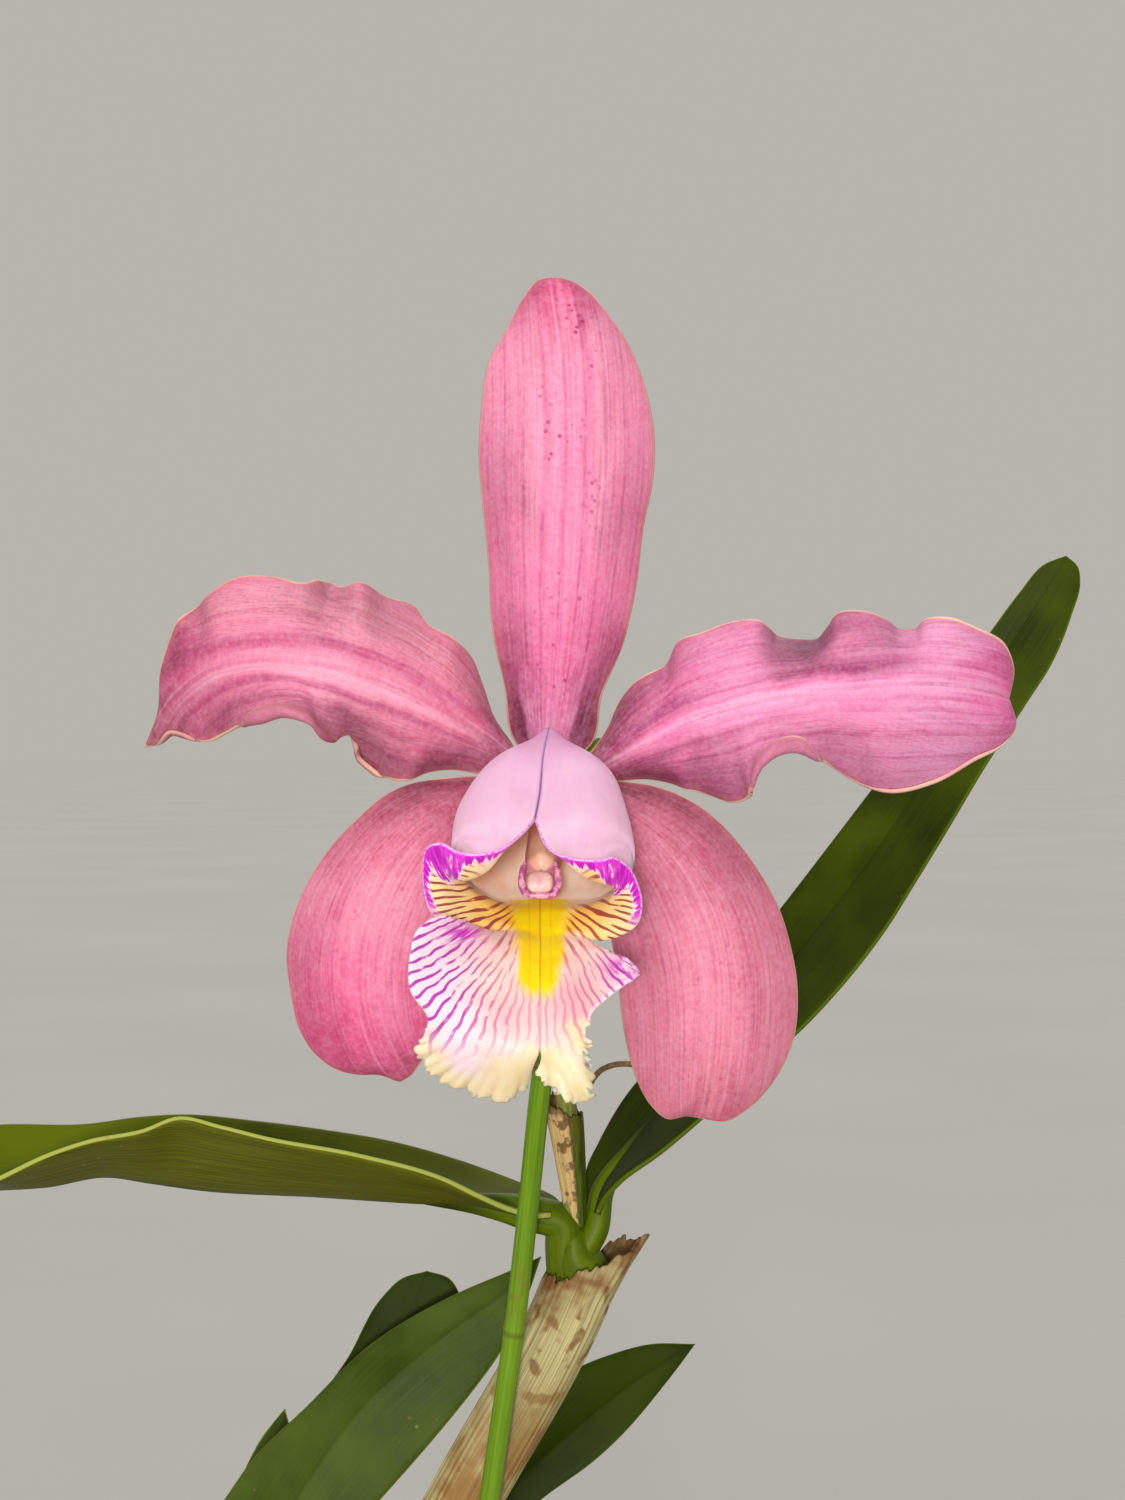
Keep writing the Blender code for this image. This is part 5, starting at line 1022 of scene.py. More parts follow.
def lip_middle(spread_s, spread_t):
    station = spread_s[:, 0] * LIP_END
    middle = through([row[0] for row in LIP_MIDRIB], [row[1:] for row in LIP_MIDRIB], station)
    lines = []
    for rows in (LIP_LEFT, LIP_RIGHT):
        stations = [row[0] for row in rows]
        lines.append([through(stations, [row[1 + i] for row in rows], station) for i in range(5)])
    left, right = lines
    net = np.stack([*reversed(left), middle, *right])
    reaches = [-reach for reach in reversed(LIP_REACHES)] + [0.0, *LIP_REACHES]
    columns = spread_t[0]
    flat = net.reshape(len(reaches), -1)
    places = seen(through(reaches, flat, columns).reshape(len(columns), -1, 3).transpose(1, 0, 2))
    row = spread_s * LIP_END
    reach = np.abs(spread_t)
    closing = window(row, -1.0, 3.5, 0.6) * reach**6
    places[..., 0] -= np.sign(spread_t) * closing * SEAM_CLOSING
    edge_run = [run_along(places[:, 0]), run_along(places[:, -1])]
    run = np.where(spread_t < 0, edge_run[0][:, None], edge_run[1][:, None]) / MM
    frill = window(row, 20.6, 27.5, 1.0)
    phase = run / TOOTH + 0.35 * np.sin(run * 0.9)
    saw = np.abs((phase % 1.0) * 2 - 1)
    irregular = 0.55 + 0.45 * np.sin(run * 1.9) * np.sin(run * 0.71 + 1)
    scallops = 0.5 + 0.5 * np.cos(run * 2 * math.pi / SCALLOP + 0.6 * np.sin(run * 0.5))
    fringe = 0.0011 * saw * irregular + 0.0004 * scallops - 0.00025
    before = np.concatenate([places[:, :1], places[:, :-1]], 1)
    after = np.concatenate([places[:, 1:], places[:, -1:]], 1)
    outward = (after - before) * np.sign(spread_t)[..., None]
    ahead = unit(np.gradient(places, axis=0))
    outward = unit(outward - ahead * (outward * ahead).sum(-1, keepdims=True))
    places = places + outward * (frill * reach**22 * fringe)[..., None]
    normal = sheet_normals(places)
    lobes = window(row, 13.2, 18.6, 1.2)
    side = np.where(spread_t < 0, 0.0, 1.7)
    wave = 0.6 * np.sin(run * 1.7 + side) + 0.5 * np.sin(run * 3.3 + 0.5 + side)
    curl = window(row, 22.5, 27.5, 1.0) * (spread_t > 0) * np.sin(run * 1.45) * reach**8 * 0.0005
    places = places + normal * ((frill * 0.00036 + lobes * 0.00022) * wave * reach**14 + curl)[..., None]
    return places


def lip_paint_guides(spread_s, spread_t, middle, margin):
    """Where each of the lip's colours lies, for its material."""
    u, v = front_view(middle)
    row = spread_s * LIP_END
    reach = np.abs(spread_t)
    down = v - THROAT_PX[1]
    across = u - THROAT_PX[0]
    radius = np.hypot(across, down)
    fall = np.clip((1010 - v) / 30, 0, 1)
    yellow = np.exp(-(np.abs(across) / (32 - 0.12 * np.clip(down, 0, 90))) ** 4)
    yellow = yellow * fall * np.clip((v - 882) / 10, 0, 1) * (row > 4)
    wall = window(row, 6.0, 14.4, 1.4) * window(reach, 0.10, 1.4, 0.16)
    corner = window(row, 6.6, 11.0, 1.6)
    band = window(row, 2.4, 12.2, 0.9) * np.clip((reach - 0.55) / 0.2, 0, 1)
    midlobe = window(row, 12.8, 40, 1.6)
    ink = window(v, 880, 1066, 46) * (0.42 + 0.58 * np.clip((np.abs(across) - 22) / 55, 0, 1))
    blotch = np.exp(-(((u - 462) / 20) ** 2 + ((v - 934) / 10) ** 2))
    blotch = (blotch + np.exp(-(((u - 624) / 18) ** 2 + ((v - 970) / 11) ** 2))) * (row > 13)
    pink = np.exp(-(((u - 576) / 30) ** 2 + ((v - 1005) / 34) ** 2)) + 0.6 * np.exp(-(((u - 505) / 26) ** 2 + ((v - 1020) / 26) ** 2))
    edge_run = [run_along(middle[:, 0]), run_along(middle[:, -1])]
    run = np.where(spread_t < 0, edge_run[0][:, None], edge_run[1][:, None]) / MM
    return {
        "angle": np.degrees(np.arctan2(across, down + 8)), "radius": radius, "yellow": yellow, "wall": wall,
        "band": band, "corner": corner, "blotch": blotch, "midlobe": midlobe, "ink": ink, "run": run,
        "frill": window(row, 20.4, 40, 1.4), "pink": pink, "rim": window(row, -1, 12.6, 0.8),
        "seam": window(row, -1, 3.4, 0.6), "across": across, "height": v,
    }


def lip_tissue():
    p = Paint("lip tissue", 0.45, 0.25, Subsurface_Weight=0.8, Subsurface_Scale=0.002, Sheen_Weight=0.08)
    p.shader.inputs["Subsurface Radius"].default_value = (1.0, 0.7, 0.6)
    keys = ("angle", "radius", "yellow", "wall", "band", "corner", "blotch", "midlobe", "ink", "run",
            "frill", "pink", "rim", "seam", "across", "height", "margin", "side", "t")
    g = {key: p.read(key) for key in keys}
    place = p.place()
    mottle = p.noise(place, 300.0, 3.0)
    soft = p.band(mottle, 0.3, 0.7)

    outer = p.mix(p.band(g["height"], 728.0, 775.0), rgb(222, 158, 206), rgb(246, 190, 224))
    outer = p.mix(p.times(p.band(g["height"], 790.0, 850.0), 0.5), outer, rgb(252, 206, 224))
    sheen = p.noise(p.vector(p.times(g["t"], 24.0), p.times(g["run"], 0.12), 0.0), 1.0, 2.0)
    outer = p.mix(p.band(sheen, 0.45, 0.75, 0.0, 0.30), outer, rgb(232, 166, 214))
    outer = p.mix(p.times(soft, 0.18), outer, rgb(255, 224, 240))
    outer = p.mix(p.times(g["midlobe"], 0.6), outer, rgb(248, 214, 214))
    outer = p.mix(1.0, outer, PAINT_LEVEL, "MULTIPLY")

    wing = p.band(p.math("ABSOLUTE", g["across"]), 40.0, 95.0)
    inner = p.mix(soft, rgb(252, 212, 208), rgb(254, 228, 220))
    inner = p.mix(p.times(wing, g["midlobe"], 0.7), inner, rgb(250, 222, 240))
    inner = p.mix(p.times(g["pink"], g["midlobe"], p.band(mottle, 0.2, 0.7, 0.5, 1.0)), inner, rgb(244, 178, 194))
    depth = p.add(g["margin"], p.times(p.add(p.noise(place, 260.0, 2.0), -0.5), 4.0))
    inner = p.mix(p.times(g["frill"], p.band(depth, 5.0, 1.8), 0.95), inner, p.mix(soft, rgb(238, 218, 168), rgb(246, 224, 188)))
    inner = p.mix(g["midlobe"], inner, p.mix(1.0, inner, PAINT_LEVEL, "MULTIPLY"))
    inner = p.mix(p.band(g["midlobe"], 1.0, 0.0, 0.0, 0.9), inner, p.mix(soft, rgb(255, 202, 176), rgb(255, 222, 200)))
    inner = p.mix(g["wall"], inner, p.mix(p.band(g["radius"], 40.0, 100.0), rgb(255, 200, 92), rgb(255, 222, 170)))
    ragged = p.noise(p.vector(p.times(g["angle"], 0.16), p.times(g["radius"], 0.02), 4.0), 1.0, 2.0)
    yellow = p.add(g["yellow"], p.times(p.add(ragged, -0.5), 0.9))
    inner = p.mix(p.times(p.band(yellow, 0.05, 0.40), g["wall"], 0.8), inner, rgb(255, 186, 50))
    inner = p.mix(p.band(yellow, 0.14, 0.82), inner, p.mix(soft, rgb(255, 204, 0), rgb(255, 218, 0)))

    turn, far = g["angle"], g["radius"]
    warp = p.noise(p.vector(p.times(turn, 0.035), p.times(far, 0.022), 0.0), 1.0, 2.0)
    wide = p.math("COSINE", p.add(p.times(turn, 0.72), p.times(warp, 8.0)))
    narrow = p.math("COSINE", p.add(p.times(turn, 1.44), p.times(warp, 16.0)))
    fork = p.band(far, 62.0, 84.0)
    stripes = p.add(p.times(wide, p.band(fork, 0.0, 1.0, 1.0, 0.0)), p.times(narrow, fork))
    gaps = p.noise(p.vector(p.times(turn, 0.16), p.times(far, 0.045), 7.0), 1.0, 2.0)
    clear = p.band(g["yellow"], 0.75, 0.15)
    red = p.times(p.band(stripes, 0.25, 0.65), p.band(gaps, 0.32, 0.42), g["wall"], clear)
    inner = p.mix(p.times(red, 0.92), inner, rgb(146, 16, 44))
    near = p.times(p.band(far, 20.0, 34.0), p.band(far, 78.0, 56.0), g["midlobe"], clear)
    inner = p.mix(p.times(p.band(stripes, 0.30, 0.75), p.band(gaps, 0.38, 0.5), near, 0.75), inner, rgb(170, 30, 60))
    away = p.times(p.band(far, 56.0, 76.0), g["midlobe"], g["ink"], clear)
    ink = p.mix(wing, rgb(206, 60, 130), rgb(166, 26, 160))
    inner = p.mix(p.times(p.band(stripes, 0.40, 0.78), p.band(gaps, 0.34, 0.46), away, 0.95), inner, ink)
    flow = p.noise(p.vector(p.times(turn, 0.5), p.times(far, 0.05), 3.0), 1.0, 2.0)
    inner = p.mix(p.times(g["blotch"], p.band(flow, 0.34, 0.48), 0.95), inner, rgb(186, 30, 182))

    comb = p.noise(p.vector(p.times(g["run"], 1.5), p.times(g["margin"], 0.28), 2.0), 1.0, 3.0)
    inset = p.times(g["margin"], p.band(g["corner"], 0.0, 1.0, 2.4, 0.48))
    cover = p.add(comb, p.band(inset, 5.6, 0.8, -0.24, 0.17))
    inner = p.mix(p.times(g["band"], p.band(inset, 5.0, 3.2), p.band(comb, 0.40, 0.55, 0.5, 1.0)), inner, p.mix(soft, rgb(248, 190, 230), rgb(254, 220, 242)))
    inner = p.mix(p.times(p.band(cover, 0.47, 0.56), g["band"]), inner, p.mix(p.band(comb, 0.4, 0.6), rgb(220, 62, 208), rgb(184, 8, 180)))
    middle = p.add(p.hump(g["across"], 0.0, 1.6), p.times(p.hump(p.math("ABSOLUTE", g["across"]), 11.0, 1.6), 0.3))
    inner = p.mix(p.times(g["yellow"], middle, 0.7), inner, rgb(176, 126, 2))
    crease = p.times(p.hump(g["across"], 0.0, 2.2), p.band(g["height"], 980.0, 1000.0), g["midlobe"])
    inner = p.mix(p.times(crease, p.band(g["height"], 1066.0, 1050.0), 0.7), inner, rgb(226, 122, 150))

    colour = p.mix(g["side"], outer, inner)
    seam = p.times(g["seam"], p.band(g["margin"], 0.42, 0.18), p.band(g["height"], 735.0, 815.0, 0.30, 0.95))
    colour = p.mix(seam, colour, rgb(208, 104, 200))
    line = p.times(p.band(g["seam"], 1.0, 0.0), g["rim"], p.band(g["margin"], 0.30, 0.12), p.band(comb, 0.4, 0.55))
    colour = p.mix(p.times(line, 0.7), colour, p.mix(g["side"], rgb(170, 40, 170), rgb(250, 200, 240)))
    normal = p.bump(p.noise(place, 2400.0, 2.0), 0.2, 0.0001)
    normal = p.bump(p.add(p.times(sheen, 0.5), p.times(stripes, g["midlobe"], 0.25)), 0.3, 0.0002, normal)
    return p.finish(colour, normal, level=False)


def lip():
    even = np.linspace(0, 1, 481)
    pace = np.interp(even, [0, 0.12, 0.52, 1], [0, 0.12, 0.70, 1])
    sheet("lip_skin", lip_middle, 480, 96, 0.0006, 0.00025, lip_tissue(), ["lip"], 1, 0.35,
          lip_paint_guides, pace)


def column():
    p = Paint("column tissue", 0.35, 0.35, Subsurface_Weight=0.4, Subsurface_Scale=0.0015)
    s, ca, sa = p.read("s"), p.read("ca"), p.read("sa")
    place = p.place()
    mottle = p.noise(place, 420.0, 3.0)
    speckle = p.noise(place, 1300.0, 2.0)
    colour = p.mix(p.band(mottle, 0.3, 0.7), rgb(248, 196, 168), rgb(255, 216, 192))
    flank = p.times(p.band(ca, -0.80, -0.45), p.band(s, 0.40, 0.75))
    colour = p.mix(p.times(flank, p.band(mottle, 0.3, 0.6, 0.6, 1.0), 0.85), colour, rgb(186, 84, 146))
    tissue = p.finish(colour, p.bump(p.noise(place, 1800.0, 2.0), 0.15, 0.0001))
    path = smooth_path(seen(COLUMN_ROUTE), 40)
    share = run_along(path) / run_along(path)[-1]
    radii = np.interp(share, np.linspace(0, 1, len(COLUMN_RADII)), COLUMN_RADII) * MM * 0.88

    def shape(s, angle):
        ridge = 0.22 * np.clip((s - 0.3) / 0.5, 0, 1) * np.exp(-(((angle - math.pi) / 0.45) ** 2))
        return 1 - 0.12 * np.cos(angle) ** 2 + ridge - 0.6 * np.clip((s - 0.95) / 0.05, 0, 1) ** 2

    body = rod("column_body", path, radii, 40, tissue, [], shape, side=(0.0, 0.0, -1.0))
    q = Paint("column collar tissue", 0.35, 0.35, Subsurface_Weight=0.3, Subsurface_Scale=0.001)
    speckle = q.noise(q.place(), 1100.0, 2.0)
    purple = q.mix(q.band(speckle, 0.42, 0.58), rgb(190, 92, 158), rgb(240, 178, 208))
    purple = q.finish(purple, q.bump(speckle, 0.2, 0.0001))
    path = smooth_path(seen(COLLAR_ROUTE), 90)
    ends = np.interp(np.linspace(0, 1, 90), [0, 0.08, 0.25, 0.5, 0.75, 0.92, 1], [0.3, 0.8, 1.0, 0.8, 1.0, 0.8, 0.3])
    collar = rod("column_collar", path, COLLAR_RADIUS * ends, 20, purple, [])
    joined("column_skin", [body, collar], ["column"])

    q = Paint("anther tissue", 0.35, 0.4, Subsurface_Weight=0.25, Subsurface_Scale=0.0015)
    mottle = q.noise(q.place(), 500.0, 2.0)
    white = q.finish(q.mix(q.band(mottle, 0.3, 0.7), rgb(248, 196, 200), rgb(255, 228, 222)),
                     q.bump(mottle, 0.2, 0.0001))
    centre = seen(ANTHER_AT)
    verts, quads = [], []
    rows, columns = 24, 32
    for i in range(rows + 1):
        polar = math.pi * i / rows
        for j in range(columns):
            around = 2 * math.pi * j / columns
            x = math.sin(polar) * math.cos(around)
            z = math.sin(polar) * math.sin(around)
            y = -math.cos(polar)
            square = (abs(x) ** 3 + abs(z) ** 3 + 1e-9) ** (-1 / 3) * math.hypot(x, z)
            cleft = 1 - 0.22 * math.exp(-((x / 0.16) ** 2)) * max(-y, 0)
            verts.append((x * square * 1.0, y * cleft, z * square * 1.0))
    places = np.array(verts) * np.array(ANTHER_SIZE)[None]
    tilt = math.radians(-38)
    turned = places.copy()
    turned[:, 1] = places[:, 1] * math.cos(tilt) - places[:, 2] * math.sin(tilt)
    turned[:, 2] = places[:, 1] * math.sin(tilt) + places[:, 2] * math.cos(tilt)
    fast_mesh("anther_cap_skin", turned + centre, [grid_faces(rows + 1, columns, wrap=True, flip=True)], {},
              white, ["anther_cap"])


# ---- leaves, stems and sheaths


def leaf_tissue(name, dark, light, under, edge, gloss=0.48):
    p = Paint(name, gloss, 0.07)
    s, vein, margin, side = (p.read(key) for key in ("s", "vein", "margin", "side"))
    place = p.place()
    broad = p.noise(place, 45.0, 3.0)
    streak = p.noise(p.vector(p.times(vein, 46.0), p.times(s, 4.0), 0.0), 1.0, 3.0)
    fine = p.noise(p.vector(p.times(vein, 130.0), p.times(s, 9.0), 3.0), 1.0, 2.0)
    upper = p.mix(p.band(broad, 0.3, 0.7), rgb(*dark), rgb(*light))
    upper = p.mix(p.band(streak, 0.35, 0.7, 0.0, 0.35), upper, rgb(*light))
    upper = p.mix(p.times(p.hump(vein, 0.0, 0.04), 0.22), upper, rgb(*[0.6 * c for c in dark]))
    lower = p.mix(p.band(streak, 0.3, 0.7), rgb(*under), rgb(*[0.72 * c for c in under]))
    lower = p.mix(p.band(fine, 0.4, 0.7, 0.0, 0.4), lower, rgb(*[min(1.25 * c, 255) for c in under]))
    colour = p.mix(side, lower, upper)
    colour = p.mix(p.band(margin, 0.30, 0.08, 0.0, 0.85), colour, rgb(*edge))
    specks = p.band(p.cells(place, 420.0), 0.16, 0.08)
    sparse = p.band(p.noise(place, 60.0, 1.0), 0.55, 0.7)
    colour = p.mix(p.times(specks, sparse, 0.5), colour, rgb(150, 140, 90))
    relief = p.add(p.times(streak, 0.7), p.times(fine, 0.3))
    normal = p.bump(relief, 0.25, 0.0003)
    return p.finish(colour, normal, p.band(broad, 0.3, 0.7, gloss - 0.05, gloss + 0.12))


def leaves():
    tissues = {
        "leaf_right": leaf_tissue("right leaf tissue", (34, 42, 0), (62, 76, 0), (74, 84, 4), (84, 102, 6)),
        "leaf_left": leaf_tissue("left leaf tissue", (56, 68, 0), (92, 104, 4), (98, 100, 18), (172, 180, 84)),
        # The leaves low behind and low right take darker copies of the leaf tissue: painted shade, for leaves that lie
        # in shade.
        "leaf_low_behind": leaf_tissue("shaded leaf tissue", (28, 38, 0), (46, 60, 2), (80, 88, 16), (68, 84, 10)),
        "leaf_low_right": leaf_tissue("right lower leaf tissue in painted shade", (28, 40, 0), (50, 64, 2), (80, 88, 16), (70, 88, 10)),
    }
    lower = leaf_tissue("lower leaf tissue", (46, 60, 8), (76, 92, 30), (100, 108, 30), (112, 132, 20))
    for name, left, midrib, right, along in LEAVES:
        colour = tissues.get(name, lower)
        place = blade(left, midrib, right, hollow=LEAF_HOLLOW, spread=LEAF_SPREAD, ripple=ripples(len(name) + 2, 0.0004, 0.5))
        spread = place(np.array([[0.5, 0.5], [0.52, 0.52]]), np.array([[0.3, 0.35], [0.3, 0.35]]))
        up = np.cross(spread[1, 0] - spread[0, 0], spread[0, 1] - spread[0, 0])[2]
        sheet(f"{name}_skin", place, 8 * along, 36, 0.0012, 0.0004, colour, [name], 1 if up > 0 else -1)


def green_stem(name, base, light, blush=(150, 90, 60), tip=None):
    p = Paint(name, 0.45, 0.12)
    s, run, ca, sa = p.read("s"), p.read("run"), p.read("ca"), p.read("sa")
    fibres = p.noise(p.vector(p.times(ca, 2.2), p.times(sa, 2.2), p.times(run, 0.10)), 1.0, 2.0)
    blotch = p.noise(p.vector(p.times(ca, 1.2), p.times(sa, 1.2), p.times(run, 0.16)), 1.0, 3.0)
    colour = p.mix(p.band(fibres, 0.3, 0.7), rgb(*base), rgb(*light))
    colour = p.mix(p.band(blotch, 0.56, 0.72, 0.0, 0.45), colour, rgb(*blush))
    if tip is not None:
        colour = p.mix(p.times(p.band(s, 0.5, 0.9), p.band(run, 40.0, 30.0)), colour, rgb(*tip))
    return p.finish(colour, p.bump(fibres, 0.1, 0.0001))


def stem_radii(path, knots, radii):
    run = run_along(path)
    corner = run_along(np.asarray(knots, float))
    return np.interp(run / run[-1], corner / corner[-1], np.asarray(radii) * MM)


def flower_stem():
    knots = seen(STEM_ROUTE)
    path = smooth_path(knots, 120)
    tissue = green_stem("flower stem tissue", (96, 112, 40), (142, 148, 72), (176, 96, 104))
    rod("flower_stem_skin", path, stem_radii(path, knots, STEM_RADII), 24, tissue, ["flower_stem"])


def dry_paper(name, straw, brown, ribs=26.0):
    """A dry sheath: straw tissue with lengthwise ribs, brown at its torn end and in blotches."""
    p = Paint(name, 0.72, 0.2)
    s, t, side = p.read("s"), p.read("t"), p.read("side")
    place = p.place()
    rib = p.math("COSINE", p.times(t, ribs * math.pi))
    fibre = p.noise(p.vector(p.times(t, 90.0), p.times(s, 4.0), 0.0), 1.0, 3.0)
    colour = p.mix(p.band(fibre, 0.3, 0.7), rgb(*[0.74 * c for c in straw]), rgb(*straw))
    colour = p.mix(p.band(rib, 0.6, 1.0, 0.0, 0.22), colour, rgb(*[0.62 * c for c in straw]))
    tint = p.noise(place, 90.0, 3.0)
    colour = p.mix(p.band(tint, 0.48, 0.66, 0.0, 0.45), colour, rgb(150, 142, 84))
    spots = p.noise(place, 330.0, 1.5)
    at_end = p.band(s, 0.90, 0.99)
    marks = p.times(p.band(spots, 0.55, 0.68), p.band(s, 0.55, 0.88, 0.05, 1.0))
    colour = p.mix(p.times(marks, 0.8), colour, rgb(*brown))
    colour = p.mix(p.times(at_end, p.band(spots, 0.35, 0.6, 0.35, 0.9)), colour, rgb(*brown))
    low = p.times(p.band(s, 0.88, 0.60), p.band(p.noise(place, 120.0, 3.0), 0.36, 0.6))
    colour = p.mix(p.times(low, 0.85), colour, rgb(138, 92, 38))
    colour = p.mix(side, p.mix(0.4, colour, rgb(110, 80, 44)), colour)
    relief = p.add(p.times(rib, -0.5), fibre)
    return p.finish(colour, p.bump(relief, 0.35, 0.0003))


def sleeve_skin(name, path, radius_at, end_at, rows, columns, thick, colour, nodes, tear):
    """A sheath round a path, closed at the back, with an uneven torn end."""
    path = np.asarray(path, float)
    knots = run_along(path)
    length = knots[-1]
    knots = knots / length
    s = np.linspace(0, 1, rows + 1)
    t = np.linspace(-1, 1, columns + 1)[:-1]
    spread_s, spread_t = np.meshgrid(s, t, indexing="ij")
    angle = math.pi * spread_t
    torn = tear * (np.sin(angle * 7 + 1) * 0.5 + np.sin(angle * 17) * 0.3 + np.sin(angle * 31 + 2) * 0.3)
    reach = spread_s * (end_at(angle) + torn)
    inside = np.clip(reach, 0, 1)
    centre = through(knots, path, inside.ravel()).reshape(*reach.shape, 3)
    ahead = through(knots, path, np.clip(reach + 0.05, 0.1, 1.0).ravel()).reshape(centre.shape)
    behind = through(knots, path, np.clip(reach - 0.05, 0.0, 0.9).ravel()).reshape(centre.shape)
    axis = unit(ahead - behind)
    side = unit(np.cross(np.array([0.0, 1.0, 0.0]), axis))
    back = np.cross(axis, side)
    outward = side * np.cos(angle)[..., None] + back * np.sin(angle)[..., None]
    past = np.maximum(reach - 1.0, 0.0)[..., None] * length
    radius = radius_at(reach, angle)
    middle = centre + axis * past + outward * radius[..., None]
    inner = middle - outward * thick / 2
    outer = middle + outward * thick / 2
    count = (rows + 1) * columns
    first = np.arange(columns)
    after = np.roll(first, -1)
    last = rows * columns
    faces = [grid_faces(rows + 1, columns, 0, wrap=True, flip=True),
             grid_faces(rows + 1, columns, count, wrap=True),
             np.stack([first, after, after + count, first + count], -1),
             np.stack([last + after, last + first, last + first + count, last + after + count], -1)]
    places = np.concatenate([outer.reshape(-1, 3), inner.reshape(-1, 3)])
    both = {"s": spread_s, "t": np.abs(spread_t)}
    attributes = {key: np.concatenate([value.ravel(), value.ravel()]) for key, value in both.items()}
    attributes["side"] = np.concatenate([np.ones(count), np.zeros(count)])
    return fast_mesh(name, places, faces, attributes, colour, nodes)


def along_midrib(line, shares):
    """Real places on a leaf's midrib at shares of its length."""
    line = np.asarray(line, float)
    return seen(through(lengthwise(line), line, np.asarray(shares, float)))


def petioles(green):
    """The leaves' bases, which narrow into the top of the pseudobulb that carries them."""
    made = {}
    for leaf, _, midrib, _, _ in LEAVES:
        base = along_midrib(midrib, [0.0])[0]
        bulb = min(PSEUDOBULBS, key=lambda row: np.linalg.norm(np.asarray(tuple(row[1][-1])) - base))[0]
        if leaf in NECK_ROUTES:
            route, radii = NECK_ROUTES[leaf]
            below = seen(route)
        else:
            knots = [np.asarray(tuple(knot), float) for knot in dict((row[0], row[1]) for row in PSEUDOBULBS)[bulb]]
            below = [knots[-1] + (knots[-2] - knots[-1]) * 0.3, knots[-1] + (base - knots[-1]) * 0.4]
            radii = OLD_PETIOLE_RADII
        path = smooth_path([*below, *along_midrib(midrib, [0.03, 0.09, 0.16])], 60)
        knots = [*below, *along_midrib(midrib, [0.03, 0.09, 0.16])]
        piece = rod(f"{leaf}_petiole", path, stem_radii(path, knots, radii), 28, green, [])
        made.setdefault(bulb, []).append(piece)
    return made


def pseudobulbs():
    green = green_stem("pseudobulb tissue", (72, 92, 0), (94, 114, 2), (84, 92, 4), (42, 54, 2))
    papery = dry_paper("dry sheath tissue", (206, 192, 134), (122, 78, 34), 34.0)
    extra = petioles(green)
    for name, knots, radii, sheath in PSEUDOBULBS:
        knots = [np.asarray(tuple(knot), float) for knot in knots]
        flowering = name == "pseudobulb_flowering"
        radii = [*radii[:-3], 3.3, 3.0, 2.2] if flowering else [*radii[:-1], OLD_BULB_TOP]
        shown = [*knots[:-1], seen(NECK_TOP)] if flowering else knots
        path = smooth_path(shown, 90)
        body = rod(f"{name}_body", path, stem_radii(path, shown, radii), 36, green, [],
                   lambda s, angle: 1 + 0.015 * np.cos(9 * angle))
        joined(f"{name}_skin", [body, *extra.get(name, [])], [name])
        first, last, flap = sheath
        flap = flap * SHEATH_FLAP_SHOWN
        fine = smooth_path(knots, 240)
        low, high = round(first * 239), round(last * 239)
        bulb = stem_radii(fine, knots, radii)[low : high + 1]

        def radius_at(reach, angle, bulb=bulb, flap=flap):
            inside = np.interp(np.clip(reach, 0, 1), np.linspace(0, 1, len(bulb)), bulb)
            rib = 0.00009 * np.cos(26 * angle) + 0.0001 * np.sin(5 * angle + 9 * reach)
            flare = 0.0009 * np.clip(reach - 1, 0, 1) / max(flap, 0.01) * (1 + np.sin(6 * angle))
            return inside + GAP + 0.00045 + rib + flare

        def end_at(angle, flap=flap):
            return 1.0 + flap * ((1.0 + np.cos(angle)) / 2.0) ** 1.3

        sleeve_skin(f"{name}_sheath_skin", fine[low : high + 1], radius_at, end_at, 90, 120, 0.0004, papery,
                    [f"{name}_sheath"], 0.012)


def spathe():
    """The bract that the flower stem grows from: dry and open on its left, green on its right."""
    p = Paint("spathe tissue", 0.6, 0.2)
    s, t, side, place = p.read("s"), p.read("t"), p.read("side"), p.place()
    fibre = p.noise(p.vector(p.times(t, 40.0), p.times(s, 4.0), 0.0), 1.0, 3.0)
    dry = p.mix(p.band(fibre, 0.3, 0.7), rgb(190, 152, 92), rgb(226, 196, 134))
    spots = p.noise(place, 520.0, 2.0)
    dry = p.mix(p.band(spots, 0.50, 0.62, 0.0, 0.8), dry, rgb(92, 52, 22))
    dry = p.mix(p.band(s, 0.90, 0.99, 0.0, 0.8), dry, rgb(96, 60, 30))
    green = p.mix(p.band(fibre, 0.3, 0.7), rgb(48, 64, 4), rgb(84, 100, 14))
    green = p.mix(p.band(s, 0.5, 1.0, 0.0, 0.3), green, rgb(120, 96, 40))
    edge = p.add(t, p.times(p.add(spots, -0.5), 0.10))
    colour = p.mix(p.band(edge, 0.44, 0.40), dry, green)
    colour = p.mix(p.times(p.hump(edge, 0.43, 0.03), 0.8), colour, rgb(92, 56, 26))
    colour = p.mix(side, p.mix(0.5, colour, rgb(90, 64, 34)), colour)
    tissue = p.finish(colour, p.bump(fibre, 0.35, 0.0003))

    def radius_at(reach, angle):
        return (1.25 + 1.75 * np.clip(reach, 0, 1) ** 0.8 + 0.1 * np.cos(7 * angle)) * MM

    def end_at(angle):
        return 0.80 + 0.20 * np.cos(angle / 2.0 - math.pi / 2.0) ** 2

    route = [(577, 1226, 38.3), *SPATHE_ROUTE[1:]]
    sleeve_skin("spathe_skin", smooth_path(seen(route), 60), radius_at, end_at, 70, 84, 0.0004, tissue,
                ["spathe"], 0.03)


